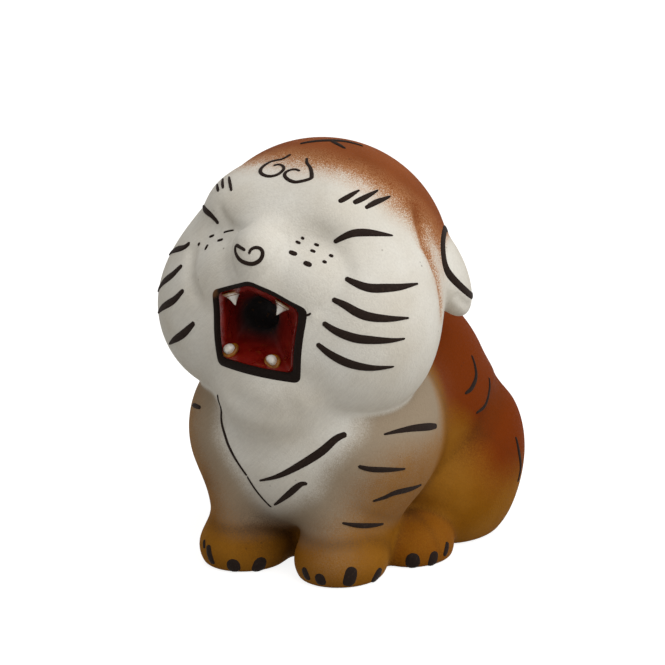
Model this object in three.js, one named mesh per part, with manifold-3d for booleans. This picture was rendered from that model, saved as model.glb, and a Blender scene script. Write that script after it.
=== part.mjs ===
// A seated, yawning tiger cub in painted, hollow fired clay, made to stand on a tea tray.
// Two pressed head halves, two pressed body halves, luted ears, paws and tail, a glazed mouth cup with four
// set fangs, and a base disc with a drain hole. Millimetres, +Z up. The tiger faces -Y, its left side is +X,
// and the origin is on the table under the body.

import * as THREE from 'three';
import { mergeVertices } from 'three/addons/utils/BufferGeometryUtils.js';
import Module from 'manifold-3d';

const wasm = await Module();
wasm.setup();

// Clay wall, and the slip joint left between two luted pieces
const WALL = 3.2;
const LUTE_GAP = 0.3;

// Body lumps: the centre and half sizes of each swelling, and the blend that rounds it into those before it
const CHEST = { x: 0, y: -17, z: 24, halfWidth: 18, halfDepth: 15, halfHeight: 17 };
const SHOULDER = { x: 12.5, y: -14.2, z: 24.1, halfWidth: 9.8, halfDepth: 15, halfHeight: 14.5, blend: 5 };
const FORELEG = { x: 9.8, y: -18, z: 11, halfWidth: 7.2, halfDepth: 11.5, halfHeight: 16, blend: 4 };
const TRUNK = { x: 0, y: 7.5, z: 24.7, halfWidth: 22, halfDepth: 23, halfHeight: 23.2, blend: 5 };
const RUMP = { x: 0, y: 16, z: 17, halfWidth: 26.4, halfDepth: 19.5, halfHeight: 19, blend: 5 };
const HAUNCH = { x: 16.8, y: 11.8, z: 10.8, halfWidth: 10, halfDepth: 15.5, halfHeight: 13.5, blend: 3 };
const SEAT = { x: 0, y: 3, z: 4, halfWidth: 15, halfDepth: 22, halfHeight: 10, blend: 3 };
const BODY_CORE = { x: 0, y: 1, z: 20 };
const BODY_SEAM_Y = -2.5;

// Paws, each set forward of the leg that stands on it
const FRONT_PAW = { forward: 4.5, lift: 4, halfWidth: 8.2, halfDepth: 9, halfHeight: 6 };
const HIND_PAW = { forward: 17.3, lift: 3.5, halfWidth: 7, halfDepth: 8.5, halfHeight: 5.8 };

// Head: its middle rises over the neck, and each lump is placed from that middle
const NECK_Y = -11;
const HEAD_RISE = 13.7;
const HEAD_SEAM_FORWARD = 1;
const HEAD_CORE_FORWARD = 5;
const HEAD_CORE_DROP = 3;
const NECK_HOLE_RADIUS = 10;
const CRANIUM = { x: 0, y: 0, z: 0, halfWidth: 23, halfDepth: 22.4, halfHeight: 22.4 };
const JOWL = { x: 11.4, y: -9.6, z: -7.6, halfWidth: 15.3, halfDepth: 14.2, halfHeight: 16.2, blend: 7 };
const JAW = { x: 0, y: -13.5, z: -9.5, halfWidth: 14, halfDepth: 11.5, halfHeight: 14, blend: 6 };
const BROW = { x: 8, y: -11, z: 11.5, halfWidth: 7.4, halfDepth: 7, halfHeight: 6.2, blend: 7 };
const EYE_HOLLOW = {
  x: 9.8, y: -24.4, z: 8.9, halfWidth: 7, halfDepth: 5.2, halfHeight: 2.4, blend: 5, yaw: 24,
};
const MUZZLE = { x: 0, y: -15, z: 1, halfWidth: 12.5, halfDepth: 10.5, halfHeight: 9.5, blend: 4 };
const WHISKER_PAD = { x: 7.6, y: -17.8, z: 0.1, halfWidth: 7.4, halfDepth: 7, halfHeight: 7.2, blend: 2.5 };
const NOSE_BRIDGE = {
  x: 0, y: -14.5, z: 10.5, halfWidth: 6.4, halfDepth: 8.5, halfHeight: 5.2, blend: 5, tilt: 35,
};
const UPPER_LIP = { x: 0, y: -20, z: 2, halfWidth: 4.5, halfDepth: 7, halfHeight: 5, blend: 3 };
const NOSE = { x: 0, y: -20.6, z: 5.9, halfWidth: 7.4, halfDepth: 7.5, halfHeight: 6, blend: 2.5 };
const CHIN = { x: 0, y: -18.5, z: -20, halfWidth: 10, halfDepth: 6, halfHeight: 6.5, blend: 6 };

// Ears: domed discs that lean out at the bottom, sunk a little into the side of the head
const EAR = {
  azimuth: 23.1, elevation: -1.4, sink: 1.7, halfThickness: 4.2, halfDepth: 8.4, halfHeight: 9.7,
};
const EAR_YAW = 28;
const EAR_LEAN = -26;

// Mouth: a five-sided, hand-cut opening with a peak under the nose, lined by a cup that narrows inwards.
// Its corners are measured across and up from its middle, at the outer edge of the rim.
const MOUTH = { offset: 1, drop: 7, depth: 10.5, cornerRadius: 1.8, taper: 0.56 };
const MOUTH_PEAK = { across: -0.7, up: 9.1 };
const MOUTH_RIGHT_TOP = { across: -9.5, up: 6 };
const MOUTH_RIGHT_FLOOR = { across: -9.3, up: -7.5 };
const MOUTH_LEFT_FLOOR = { across: 7.5, up: -9.1 };
const MOUTH_LEFT_TOP = { across: 9.5, up: 4.3 };
const CUP_WALL = 1.6;
const CUP_STEPS = 6;
const CORNER_STEPS = 3;
const THROAT = { across: -3, up: 1.5, halfWidth: 3.4, halfHeight: 3 };

// Fangs and the beads of setting glaze round their roots
const UPPER_FANG = { rootRadius: 1.1, tipRadius: 0.2, length: 2.2 };
const LOWER_FANG = { rootRadius: 0.85, tipRadius: 0.65, length: 1.7 };
const BEAD = { width: 0.6, height: 0.8 };
const UPPER_FANG_DEPTH = 2.4;
const LOWER_FANG_DEPTH = 1.7;
const UPPER_LEFT_SHARE = 0.33;
const UPPER_RIGHT_SHARE = 0.8;
const LOWER_LEFT_SHARE = 0.76;
const LOWER_RIGHT_SHARE = 0.05;
const FANG_SIDES = 12;

// Shares of the radius and length where a fang's outline swells, draws in and closes
const FANG_BELLY = { radius: 1.12, length: 0.5 };
const FANG_SHOULDER = { radius: 1, length: 0.9 };
const FANG_CROWN = { radius: 0.6, length: 0.98 };

// Shares of the width and height where a bead's outline rounds over
const BEAD_SHOULDER = { width: 0.88, height: 0.6 };
const BEAD_CREST = { width: 0.5, height: 1 };
const BEAD_LIP = { width: 0, height: 0.85 };

// Tail: lies up the back from the root to the tip, each place given as a bearing from the body's core
const TAIL = {
  radius: 3.1, proud: 0.8, rootAzimuth: 90, tipAzimuth: 148, rootElevation: -32, tipElevation: 14,
};
const TAIL_CURL = 1.5;
const TAIL_ROOT_SHARE = 0.2;
const TAIL_SIDES = 6;
const TAIL_STEPS = 14;

// Floor of the body
const BASE = { y: 3, halfWidth: 9.5, halfDepth: 14, clearance: 0.3 };
const DRAIN_HOLE = { y: 9, radius: 4 };
const ROUND_SIDES = 32;

// Fineness of the modelled surfaces
const HEAD_DETAIL = 10;
const BODY_DETAIL = 8;
const HOLLOW_DETAIL = 4;
const PAW_DETAIL = 3;
const CAST_STEPS = 40;
const REACH = 90;
const WELD = 1e-4;
const UNIT_WELD = 1e-5;
const SLIVER = 0.01;

const CREAM = { color: '#dcd8cc', roughness: 0.85, metalness: 0 };
const HEAD_BROWN = { color: '#8a4a22', roughness: 0.85, metalness: 0 };
const BIB = { color: '#b9ad94', roughness: 0.85, metalness: 0 };
const OCHRE = { color: '#84591f', roughness: 0.85, metalness: 0 };
const PAW_OCHRE = { color: '#7d5a26', roughness: 0.85, metalness: 0 };
const RED_GLAZE = { color: '#5a0d05', roughness: 0.2, metalness: 0 };
const TOOTH_WHITE = { color: '#d8d2c8', roughness: 0.25, metalness: 0 };
const AMBER = { color: '#8f5d18', roughness: 0.2, metalness: 0 };
const BARE_CLAY = { color: '#a8744a', roughness: 0.9, metalness: 0 };

const radians = THREE.MathUtils.degToRad;

// Vector from a record with x, y and z
function place(record) {
  return new THREE.Vector3(record.x, record.y, record.z);
}

// Unit direction at an azimuth from +X towards +Y, and an elevation above level, in degrees
function bearing(azimuth, elevation) {
  const flat = Math.cos(radians(elevation));
  return new THREE.Vector3(
    flat * Math.cos(radians(azimuth)),
    flat * Math.sin(radians(azimuth)),
    Math.sin(radians(elevation)),
  );
}

// Ellipsoid lump about a middle; side -1 mirrors it to the tiger's right
function lump(spec, middle = new THREE.Vector3(), side = 1) {
  const centre = new THREE.Vector3(side * spec.x, spec.y, spec.z).add(middle);
  const turn = new THREE.Euler(
    radians(spec.tilt ?? 0),
    radians(side * (spec.lean ?? 0)),
    radians(side * (spec.yaw ?? 0)),
    'ZYX',
  );
  return {
    centre,
    radii: new THREE.Vector3(spec.halfWidth, spec.halfDepth, spec.halfHeight),
    unturn: new THREE.Quaternion().setFromEuler(turn).invert(),
    blend: spec.blend ?? 1,
  };
}

function pair(spec, middle) {
  return [lump(spec, middle, 1), lump(spec, middle, -1)];
}

function hollowed(lumps) {
  return lumps.map((one) => ({ ...one, cuts: true }));
}

// Distance from a point to a lump's surface, negative inside
function lumpDistance(one, point) {
  const scaled = point.clone().sub(one.centre).applyQuaternion(one.unturn).divide(one.radii);
  const reach = scaled.length();
  const slope = scaled.divide(one.radii).length();
  return slope > 0 ? (reach * (reach - 1)) / slope : -Math.min(one.radii.x, one.radii.y, one.radii.z);
}

function smoothMin(a, b, blend) {
  const share = THREE.MathUtils.clamp(0.5 + (0.5 * (b - a)) / blend, 0, 1);
  return b + (a - b) * share - blend * share * (1 - share);
}

// Distance field of lumps that are rounded into each other in order
function fieldOf(lumps) {
  return (point) => {
    let distance = lumpDistance(lumps[0], point);
    for (const one of lumps.slice(1)) {
      const next = lumpDistance(one, point);
      if (one.cuts) {
        distance = -smoothMin(-distance, next, one.blend);
      } else {
        distance = smoothMin(distance, next, one.blend);
      }
    }
    return distance;
  };
}

// How far a ray from inside a field runs until it meets the surface that lies offset outside the clay
function castOut(field, core, direction, offset = 0) {
  let inside = 0;
  let outside = REACH;
  for (let step = 0; step < CAST_STEPS; step += 1) {
    const middle = (inside + outside) / 2;
    const point = core.clone().addScaledVector(direction, middle);
    if (field(point) < offset) {
      inside = middle;
    } else {
      outside = middle;
    }
  }
  return inside;
}

// Closed solid of a geometry
function solid(geometry) {
  const bare = geometry.clone();
  bare.deleteAttribute('normal');
  bare.deleteAttribute('uv');
  const merged = mergeVertices(bare, WELD);
  const vertProperties = new Float32Array(merged.attributes.position.array);
  const triVerts = new Uint32Array(merged.index.array);
  return new wasm.Manifold(new wasm.Mesh({ numProp: 3, vertProperties, triVerts }));
}

// Solid whose surface lies offset outside a field, seen from a core inside it
function sculpt(field, core, detail, offset = 0) {
  const ball = new THREE.IcosahedronGeometry(1, detail);
  ball.deleteAttribute('normal');
  ball.deleteAttribute('uv');
  const skin = mergeVertices(ball, UNIT_WELD);
  const spots = skin.attributes.position;
  const direction = new THREE.Vector3();
  for (let i = 0; i < spots.count; i += 1) {
    direction.fromBufferAttribute(spots, i).normalize();
    const point = core.clone().addScaledVector(direction, castOut(field, core, direction, offset));
    spots.setXYZ(i, point.x, point.y, point.z);
  }
  return solid(skin);
}

function block(low, high) {
  const size = high.clone().sub(low);
  const middle = high.clone().add(low).multiplyScalar(0.5);
  return solid(new THREE.BoxGeometry(size.x, size.y, size.z).translate(middle.x, middle.y, middle.z));
}

// Everything in front of, behind or above a plane
function inFrontOf(y) {
  return block(new THREE.Vector3(-REACH, -REACH, -REACH), new THREE.Vector3(REACH, y, REACH));
}

function behind(y) {
  return block(new THREE.Vector3(-REACH, y, -REACH), new THREE.Vector3(REACH, REACH, REACH));
}

function above(z) {
  return block(new THREE.Vector3(-REACH, -REACH, z), new THREE.Vector3(REACH, REACH, REACH));
}

// Upright prism on an ellipse
function ellipsePrism(centreX, centreY, halfWidth, halfDepth, low, high) {
  const prism = new THREE.CylinderGeometry(1, 1, high - low, ROUND_SIDES);
  prism.rotateX(Math.PI / 2);
  prism.scale(halfWidth, halfDepth, 1);
  prism.translate(centreX, centreY, (low + high) / 2);
  return solid(prism);
}

const tiger = new THREE.Group();

function addMesh(name, geometry, finish) {
  const mesh = new THREE.Mesh(geometry, new THREE.MeshStandardMaterial(finish));
  mesh.name = name;
  tiger.add(mesh);
  return mesh;
}

function addSolid(name, body, finish) {
  const { vertProperties, triVerts, numProp } = body.asOriginal().simplify(SLIVER).getMesh();
  const geometry = new THREE.BufferGeometry();
  const spots = new Float32Array((vertProperties.length / numProp) * 3);
  for (let i = 0; i < spots.length / 3; i += 1) {
    spots.set(vertProperties.subarray(i * numProp, i * numProp + 3), i * 3);
  }
  geometry.setAttribute('position', new THREE.BufferAttribute(spots, 3));
  geometry.setIndex(new THREE.BufferAttribute(new Uint32Array(triVerts), 1));
  geometry.computeVertexNormals();
  return addMesh(name, geometry, finish);
}

// Body, paws and the head's place over the neck
const bodyLumps = [
  lump(CHEST),
  ...pair(SHOULDER),
  ...pair(FORELEG),
  lump(TRUNK),
  lump(RUMP),
  ...pair(HAUNCH),
  lump(SEAT),
];
const bodyField = fieldOf(bodyLumps);
const bodyCore = place(BODY_CORE);
const bodyHollowField = fieldOf([lump(CHEST), lump(TRUNK), lump(RUMP)]);

const neck = new THREE.Vector3(0, NECK_Y, BODY_CORE.z);
const neckTop = neck.z + castOut(bodyField, neck, new THREE.Vector3(0, 0, 1));
const headMiddle = new THREE.Vector3(0, NECK_Y, neckTop + HEAD_RISE);
const headLumps = [
  lump(CRANIUM, headMiddle),
  ...pair(JOWL, headMiddle),
  lump(JAW, headMiddle),
  ...pair(BROW, headMiddle),
  ...hollowed(pair(EYE_HOLLOW, headMiddle)),
  lump(MUZZLE, headMiddle),
  ...pair(WHISKER_PAD, headMiddle),
  lump(NOSE_BRIDGE, headMiddle),
  lump(UPPER_LIP, headMiddle),
  lump(NOSE, headMiddle),
  lump(CHIN, headMiddle),
];
const headField = fieldOf(headLumps);
const headCore = headMiddle.clone().add(new THREE.Vector3(0, -HEAD_CORE_FORWARD, -HEAD_CORE_DROP));
const headHollowField = fieldOf([lump(CRANIUM, headMiddle), ...pair(JOWL, headMiddle)]);

const headSkin = sculpt(headField, headCore, HEAD_DETAIL);
const headClearance = sculpt(headField, headCore, HEAD_DETAIL, LUTE_GAP);
const bodySkin = sculpt(bodyField, bodyCore, BODY_DETAIL);
const bodyClearance = sculpt(bodyField, bodyCore, BODY_DETAIL, LUTE_GAP);

function pawSpec(leg, paw) {
  return { ...paw, x: leg.x, y: leg.y - paw.forward, z: paw.lift };
}

// Paws stand whole on the table, and the legs end on them
function addPaw(name, leg, paw, side) {
  const one = lump(pawSpec(leg, paw), undefined, side);
  const field = fieldOf([one]);
  addSolid(name, sculpt(field, one.centre, PAW_DETAIL).intersect(above(0)), PAW_OCHRE);
  return sculpt(field, one.centre, PAW_DETAIL, LUTE_GAP);
}

const pawClearances = [
  addPaw('left_front_paw', FORELEG, FRONT_PAW, 1),
  addPaw('right_front_paw', FORELEG, FRONT_PAW, -1),
  addPaw('left_hind_paw', HAUNCH, HIND_PAW, 1),
  addPaw('right_hind_paw', HAUNCH, HIND_PAW, -1),
];

// Body halves: hollow over a floor with an oval opening, open at the neck where the head sits in
function bodyShell() {
  const hollow = sculpt(bodyHollowField, bodyCore, HOLLOW_DETAIL, -WALL).intersect(above(WALL));
  const opening = ellipsePrism(0, BASE.y, BASE.halfWidth, BASE.halfDepth, -WALL, bodyCore.z);
  let shell = bodySkin.intersect(above(0)).subtract(hollow).subtract(opening).subtract(headClearance);
  for (const clearance of pawClearances) {
    shell = shell.subtract(clearance);
  }
  return shell;
}

const body = bodyShell();
addSolid('chest_shell', body.intersect(inFrontOf(BODY_SEAM_Y - LUTE_GAP / 2)), BIB);
addSolid('back_shell', body.intersect(behind(BODY_SEAM_Y + LUTE_GAP / 2)), OCHRE);

// Base disc with its drain hole
const discHalfWidth = BASE.halfWidth - BASE.clearance;
const discHalfDepth = BASE.halfDepth - BASE.clearance;
const disc = ellipsePrism(0, BASE.y, discHalfWidth, discHalfDepth, 0, WALL);
const drain = ellipsePrism(0, DRAIN_HOLE.y, DRAIN_HOLE.radius, DRAIN_HOLE.radius, -WALL, bodyCore.z);
addSolid('base_disc', disc.subtract(drain), BARE_CLAY);

// Mouth corners moved out by a margin, seen from the front
function mouthCorners(margin) {
  const corners = [MOUTH_PEAK, MOUTH_RIGHT_TOP, MOUTH_RIGHT_FLOOR, MOUTH_LEFT_FLOOR, MOUTH_LEFT_TOP]
    .map(({ across, up }) => new THREE.Vector2(across, up));
  const outward = corners.map((corner, i) => {
    const edge = corners[(i + 1) % corners.length].clone().sub(corner).normalize();
    return new THREE.Vector2(edge.y, -edge.x);
  });
  return corners.map((corner, i) => {
    const before = outward[(i + corners.length - 1) % corners.length];
    const push = before.clone().add(outward[i]);
    return corner.clone().addScaledVector(push, margin / (1 + before.dot(outward[i])));
  });
}

// Mouth outline with rounded corners
function mouthOutline(margin) {
  const corners = mouthCorners(margin);
  const shape = new THREE.Shape();
  corners.forEach((corner, i) => {
    const before = corners[(i + corners.length - 1) % corners.length];
    const after = corners[(i + 1) % corners.length];
    const start = corner.clone().add(before.clone().sub(corner).setLength(MOUTH.cornerRadius));
    const end = corner.clone().add(after.clone().sub(corner).setLength(MOUTH.cornerRadius));
    if (i === 0) {
      shape.moveTo(start.x, start.y);
    } else {
      shape.lineTo(start.x, start.y);
    }
    shape.quadraticCurveTo(corner.x, corner.y, end.x, end.y);
  });
  shape.closePath();
  return shape;
}

const mouthMiddle = headMiddle.clone().add(new THREE.Vector3(MOUTH.offset, 0, -MOUTH.drop));
const mouthCore = new THREE.Vector3(MOUTH.offset, headCore.y, mouthMiddle.z);
const lipY = headCore.y - castOut(headField, mouthCore, new THREE.Vector3(0, -1, 0));

// Place in the mouth at a corner's bearing and a depth behind the lips, where the cup draws in to the throat
function inMouth(corner, depth) {
  const share = Math.max(depth, 0) / MOUTH.depth;
  const draw = THREE.MathUtils.lerp(1, MOUTH.taper, share);
  return new THREE.Vector3(
    mouthMiddle.x + corner.x * draw + THROAT.across * share,
    lipY + depth,
    mouthMiddle.z + corner.y * draw + THROAT.up * share,
  );
}

// Narrowing plug of the mouth, from in front of the lips to a depth behind them
function mouthPlug(margin, depth) {
  const plug = new THREE.ExtrudeGeometry(mouthOutline(margin), {
    depth: depth + MOUTH.depth,
    bevelEnabled: false,
    curveSegments: CORNER_STEPS,
    steps: CUP_STEPS,
  });
  const spots = plug.attributes.position;
  for (let i = 0; i < spots.count; i += 1) {
    const corner = new THREE.Vector2(spots.getX(i), spots.getY(i));
    const spot = inMouth(corner, depth - spots.getZ(i));
    spots.setXYZ(i, spot.x, spot.y, spot.z);
  }
  return solid(plug);
}

// Head halves, with the mouth opening in the face and the neck hole in the floor of both
function headShell() {
  const hollow = sculpt(headHollowField, headCore, HOLLOW_DETAIL, -WALL);
  const neckHole = ellipsePrism(0, NECK_Y, NECK_HOLE_RADIUS, NECK_HOLE_RADIUS, 0, headCore.z);
  return headSkin.subtract(hollow).subtract(neckHole);
}

const head = headShell();
const headSeamY = headMiddle.y - HEAD_SEAM_FORWARD;
const mouthHole = mouthPlug(LUTE_GAP, MOUTH.depth + LUTE_GAP);
let face = head.intersect(inFrontOf(headSeamY - LUTE_GAP / 2)).subtract(mouthHole);
addSolid('skull_shell', head.intersect(behind(headSeamY + LUTE_GAP / 2)), HEAD_BROWN);

// Mouth cup, flush with the lips, with the throat hole through its back wall
function throatHole() {
  const hole = new THREE.CylinderGeometry(1, 1, MOUTH.depth, ROUND_SIDES);
  const middle = inMouth(new THREE.Vector2(), MOUTH.depth);
  hole.scale(THROAT.halfWidth, 1, THROAT.halfHeight);
  hole.translate(middle.x, middle.y, middle.z);
  return solid(hole);
}

let cup = mouthPlug(0, MOUTH.depth)
  .subtract(mouthPlug(-CUP_WALL, MOUTH.depth - CUP_WALL))
  .subtract(throatHole())
  .intersect(headSkin);

// Place on the cup's inner wall, a share of the way between two of its corners, and the wall's normal there
function cupWall(from, to, share, depth) {
  const spot = inMouth(from, depth).lerp(inMouth(to, depth), share);
  const back = inMouth(from, MOUTH.depth).lerp(inMouth(to, MOUTH.depth), share);
  const deeper = back.sub(spot);
  const across = inMouth(to, depth).sub(inMouth(from, depth));
  const normal = new THREE.Vector3().crossVectors(across, deeper).normalize();
  return { spot, normal };
}

// Fang of revolution on its own axis, with its root on the plane z = 0
function fangGeometry(fang) {
  const middle = (fang.rootRadius + fang.tipRadius) / 2;
  const at = (share, radius) => new THREE.Vector2(radius * share.radius, fang.length * share.length);
  const outline = [
    new THREE.Vector2(0, 0),
    new THREE.Vector2(fang.rootRadius, 0),
    at(FANG_BELLY, middle),
    at(FANG_SHOULDER, fang.tipRadius),
    at(FANG_CROWN, fang.tipRadius),
    new THREE.Vector2(0, fang.length),
  ];
  return new THREE.LatheGeometry(outline, FANG_SIDES).rotateX(Math.PI / 2);
}

// Ring of setting glaze round a fang's root
function beadGeometry(fang) {
  const inner = fang.rootRadius + LUTE_GAP;
  const at = (share) => new THREE.Vector2(inner + BEAD.width * share.width, BEAD.height * share.height);
  const outline = [
    new THREE.Vector2(inner, 0),
    new THREE.Vector2(inner + BEAD.width, 0),
    at(BEAD_SHOULDER),
    at(BEAD_CREST),
    at(BEAD_LIP),
    new THREE.Vector2(inner, 0),
  ];
  return new THREE.LatheGeometry(outline, FANG_SIDES).rotateX(Math.PI / 2);
}

// Socket that gives a fang and its bead room where they stand close to a side wall
function socketGeometry(fang) {
  const radius = fang.rootRadius + LUTE_GAP + BEAD.width + LUTE_GAP;
  const room = new THREE.CylinderGeometry(radius, radius, fang.length + 2 * LUTE_GAP, ROUND_SIDES);
  return room.rotateX(Math.PI / 2).translate(0, 0, fang.length / 2);
}

// Fang and its bead, standing off the cup's wall by the joint
function addFang(name, fang, from, to, share, depth) {
  const { spot, normal } = cupWall(from, to, share, depth);
  const seat = spot.addScaledVector(normal, LUTE_GAP);
  const turn = new THREE.Quaternion().setFromUnitVectors(new THREE.Vector3(0, 0, 1), normal);
  const pieces = [
    addMesh(name, fangGeometry(fang), TOOTH_WHITE),
    addMesh(`${name}_bead`, beadGeometry(fang), AMBER),
  ];
  for (const piece of pieces) {
    piece.position.copy(seat);
    piece.quaternion.copy(turn);
  }
  const socket = solid(socketGeometry(fang).applyQuaternion(turn).translate(seat.x, seat.y, seat.z));
  cup = cup.subtract(socket);
  face = face.subtract(socket);
}

const [peak, rightTop, rightFloor, leftFloor, leftTop] = mouthCorners(-CUP_WALL);
addFang('upper_left_fang', UPPER_FANG, leftTop, peak, UPPER_LEFT_SHARE, UPPER_FANG_DEPTH);
addFang('upper_right_fang', UPPER_FANG, peak, rightTop, UPPER_RIGHT_SHARE, UPPER_FANG_DEPTH);
addFang('lower_left_fang', LOWER_FANG, rightFloor, leftFloor, LOWER_LEFT_SHARE, LOWER_FANG_DEPTH);
addFang('lower_right_fang', LOWER_FANG, rightFloor, leftFloor, LOWER_RIGHT_SHARE, LOWER_FANG_DEPTH);
addSolid('face_shell', face, CREAM);
addSolid('mouth_cup', cup, RED_GLAZE);

// Ears, trimmed to the side of the head
function addEar(name, side) {
  const direction = bearing(EAR.azimuth, EAR.elevation);
  const out = castOut(headField, headMiddle, direction) - EAR.sink;
  const seat = direction.multiplyScalar(out);
  const one = lump({
    x: seat.x,
    y: seat.y,
    z: seat.z,
    halfWidth: EAR.halfThickness,
    halfDepth: EAR.halfDepth,
    halfHeight: EAR.halfHeight,
    yaw: EAR_YAW,
    lean: EAR_LEAN,
  }, headMiddle, side);
  const dome = sculpt(fieldOf([one]), one.centre, PAW_DETAIL);
  addSolid(name, dome.subtract(headClearance), CREAM);
}

addEar('left_ear', 1);
addEar('right_ear', -1);

// Tail that grows out of the back and lies on it, trimmed to it, with a round tip
function tailSolid() {
  const spots = [];
  for (let step = 0; step <= TAIL_STEPS; step += 1) {
    const share = step / TAIL_STEPS;
    const direction = bearing(
      THREE.MathUtils.lerp(TAIL.rootAzimuth, TAIL.tipAzimuth, share),
      THREE.MathUtils.lerp(TAIL.rootElevation, TAIL.tipElevation, share ** TAIL_CURL),
    );
    const emerged = Math.min(share / TAIL_ROOT_SHARE, 1);
    const proud = THREE.MathUtils.lerp(-2 * TAIL.radius, TAIL.proud, emerged);
    const out = castOut(bodyField, bodyCore, direction) + proud;
    spots.push(bodyCore.clone().addScaledVector(direction, out));
  }
  const section = new THREE.Shape().absellipse(0, 0, TAIL.radius, TAIL.radius, 0, 2 * Math.PI);
  const rope = new THREE.ExtrudeGeometry(section, {
    steps: TAIL_STEPS,
    curveSegments: TAIL_SIDES,
    extrudePath: new THREE.CatmullRomCurve3(spots),
  });
  const last = spots.at(-1);
  const tip = new THREE.IcosahedronGeometry(TAIL.radius, PAW_DETAIL).translate(last.x, last.y, last.z);
  return solid(rope).add(solid(tip)).subtract(bodyClearance).intersect(above(0));
}

addSolid('tail', tailSolid(), OCHRE);

export default tiger;
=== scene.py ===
"""Looks of a seated, yawning tiger cub in painted clay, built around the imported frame.

Shapes are worked out in millimetres on the figure's own axes: +Z is up, the cub faces -Y and its left is +X.
"""

import logging
import math
from collections.abc import Sequence
from dataclasses import dataclass, field, replace
from enum import Enum

import bpy
import numpy as np
from mathutils import Euler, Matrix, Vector


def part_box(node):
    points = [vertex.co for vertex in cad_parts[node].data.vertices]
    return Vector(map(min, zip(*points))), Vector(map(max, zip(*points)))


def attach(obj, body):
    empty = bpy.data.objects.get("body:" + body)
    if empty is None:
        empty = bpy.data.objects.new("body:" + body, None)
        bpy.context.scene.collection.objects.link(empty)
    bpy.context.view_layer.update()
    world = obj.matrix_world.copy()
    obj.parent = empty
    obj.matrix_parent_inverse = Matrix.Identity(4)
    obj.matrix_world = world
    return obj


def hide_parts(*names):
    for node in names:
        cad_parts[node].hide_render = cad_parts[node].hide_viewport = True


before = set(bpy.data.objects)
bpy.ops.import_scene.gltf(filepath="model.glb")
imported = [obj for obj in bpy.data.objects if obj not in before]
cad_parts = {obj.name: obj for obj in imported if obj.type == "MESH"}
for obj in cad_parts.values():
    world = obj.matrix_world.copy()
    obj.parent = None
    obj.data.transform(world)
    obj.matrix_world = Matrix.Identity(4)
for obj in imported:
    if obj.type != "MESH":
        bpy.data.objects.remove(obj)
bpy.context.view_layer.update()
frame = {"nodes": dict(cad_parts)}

LOG = logging.getLogger("tea_pet")
ROOT = "root"
MM = 0.001
TINY = 1e-9
SIDES = ("left", "right")
PAWS = ("front_paw", "hind_paw")
MIRROR = np.array([-1.0, 1.0, 1.0])
# Millimetres from a place to the probes of its slope
PROBE = 0.04
# A distance in millimetres past any on the figure
FAR_AWAY = 60.0
# Room in millimetres round a form's box
FORM_MARGIN = 14.0
# Points this close to a cut line, in millimetres, lie on it
SNAP = 0.1
# Points this close, in millimetres, are welded
WELD = 0.003
# How often a cast is halved
CAST_STEPS = 30
# How many of its widths a groove reaches
CREASE_REACH = 2.6
# Edges sharper than this, in degrees, stay sharp
SHARP = 50.0
# The middle of a noise
MIDDLE = (0.3, 0.7)
FULL = (0.0, 1.0)
WHITE = (1.0, 1.0, 1.0, 1.0)

Spot = tuple[float, float, float]
Flat = tuple[float, float]
Pixel = tuple[float, float]
Span = tuple[float, float]
Array = np.ndarray
Piece = bpy.types.Object
Material = bpy.types.Material
Socket = bpy.types.NodeSocket


def ramp(values: Array, low: float, high: float) -> Array:
    """Rise smoothly from 0 to 1.

    Args:
        values: What is measured.
        low: The value at which the rise starts.
        high: The value at which it ends; below low for a fall.

    Returns:
        A share from 0 to 1 for each value.
    """
    share = np.clip((values - low) / (high - low), 0.0, 1.0)
    return share * share * (3.0 - 2.0 * share)


def smooth_min(one: Array, other: Array, blend: float | Array) -> Array:
    """Take the smaller of two distances, rounded over where they meet.

    Args:
        one: The first distances.
        other: The second distances.
        blend: The width of the rounding.

    Returns:
        The blended distances.
    """
    share = np.clip(0.5 + 0.5 * (other - one) / blend, 0.0, 1.0)
    return other + (one - other) * share - blend * share * (1.0 - share)


def spotted(points: Array, spot: Spot, radius: float) -> Array:
    """Fade from 1 at a spot to 0 away from it.

    Args:
        points: Places on the figure.
        spot: The middle of the spot.
        radius: The distance at which it has faded to about a third.

    Returns:
        A share from 0 to 1 for each place.
    """
    return np.exp(-((points - spot) ** 2).sum(axis=1) / radius**2)


def outside_of(path: Array, places: Array) -> Array:
    """Measure how far places lie outside a closed flat outline.

    Args:
        path: The outline's corners.
        places: Flat places.

    Returns:
        Distances, below 0 inside.
    """
    best = np.full(len(places), FAR_AWAY)
    inside = np.zeros(len(places), bool)
    for start, end in zip(path, np.roll(path, -1, axis=0)):
        edge = end - start
        share = np.clip(((places - start) @ edge) / (edge @ edge), 0.0, 1.0)
        best = np.minimum(best, np.linalg.norm(places - start - share[:, None] * edge, axis=1))
        spans = (start[1] > places[:, 1]) != (end[1] > places[:, 1])
        rise = np.where(spans, edge[1], 1.0)
        inside ^= spans & (places[:, 0] < start[0] + (places[:, 1] - start[1]) * edge[0] / rise)
    return np.where(inside, -best, best)


def colour(code: str) -> tuple[float, float, float, float]:
    """Read a written colour as a shader takes it.

    Args:
        code: Six hexadecimal digits after a hash.

    Returns:
        Linear red, green and blue, and a full alpha.
    """
    parts = [int(code[i : i + 2], 16) / 255.0 for i in (1, 3, 5)]
    red, green, blue = (p / 12.92 if p <= 0.04045 else ((p + 0.055) / 1.055) ** 2.4 for p in parts)
    return red, green, blue, 1.0


def direction_of(azimuth: float, elevation: float) -> Array:
    """Turn two angles into a direction.

    Args:
        azimuth: Degrees from +X towards +Y.
        elevation: Degrees above level.

    Returns:
        The direction, one long.
    """
    turn, rise = math.radians(azimuth), math.radians(elevation)
    level = math.cos(rise)
    return np.array([level * math.cos(turn), level * math.sin(turn), math.sin(rise)])


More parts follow.
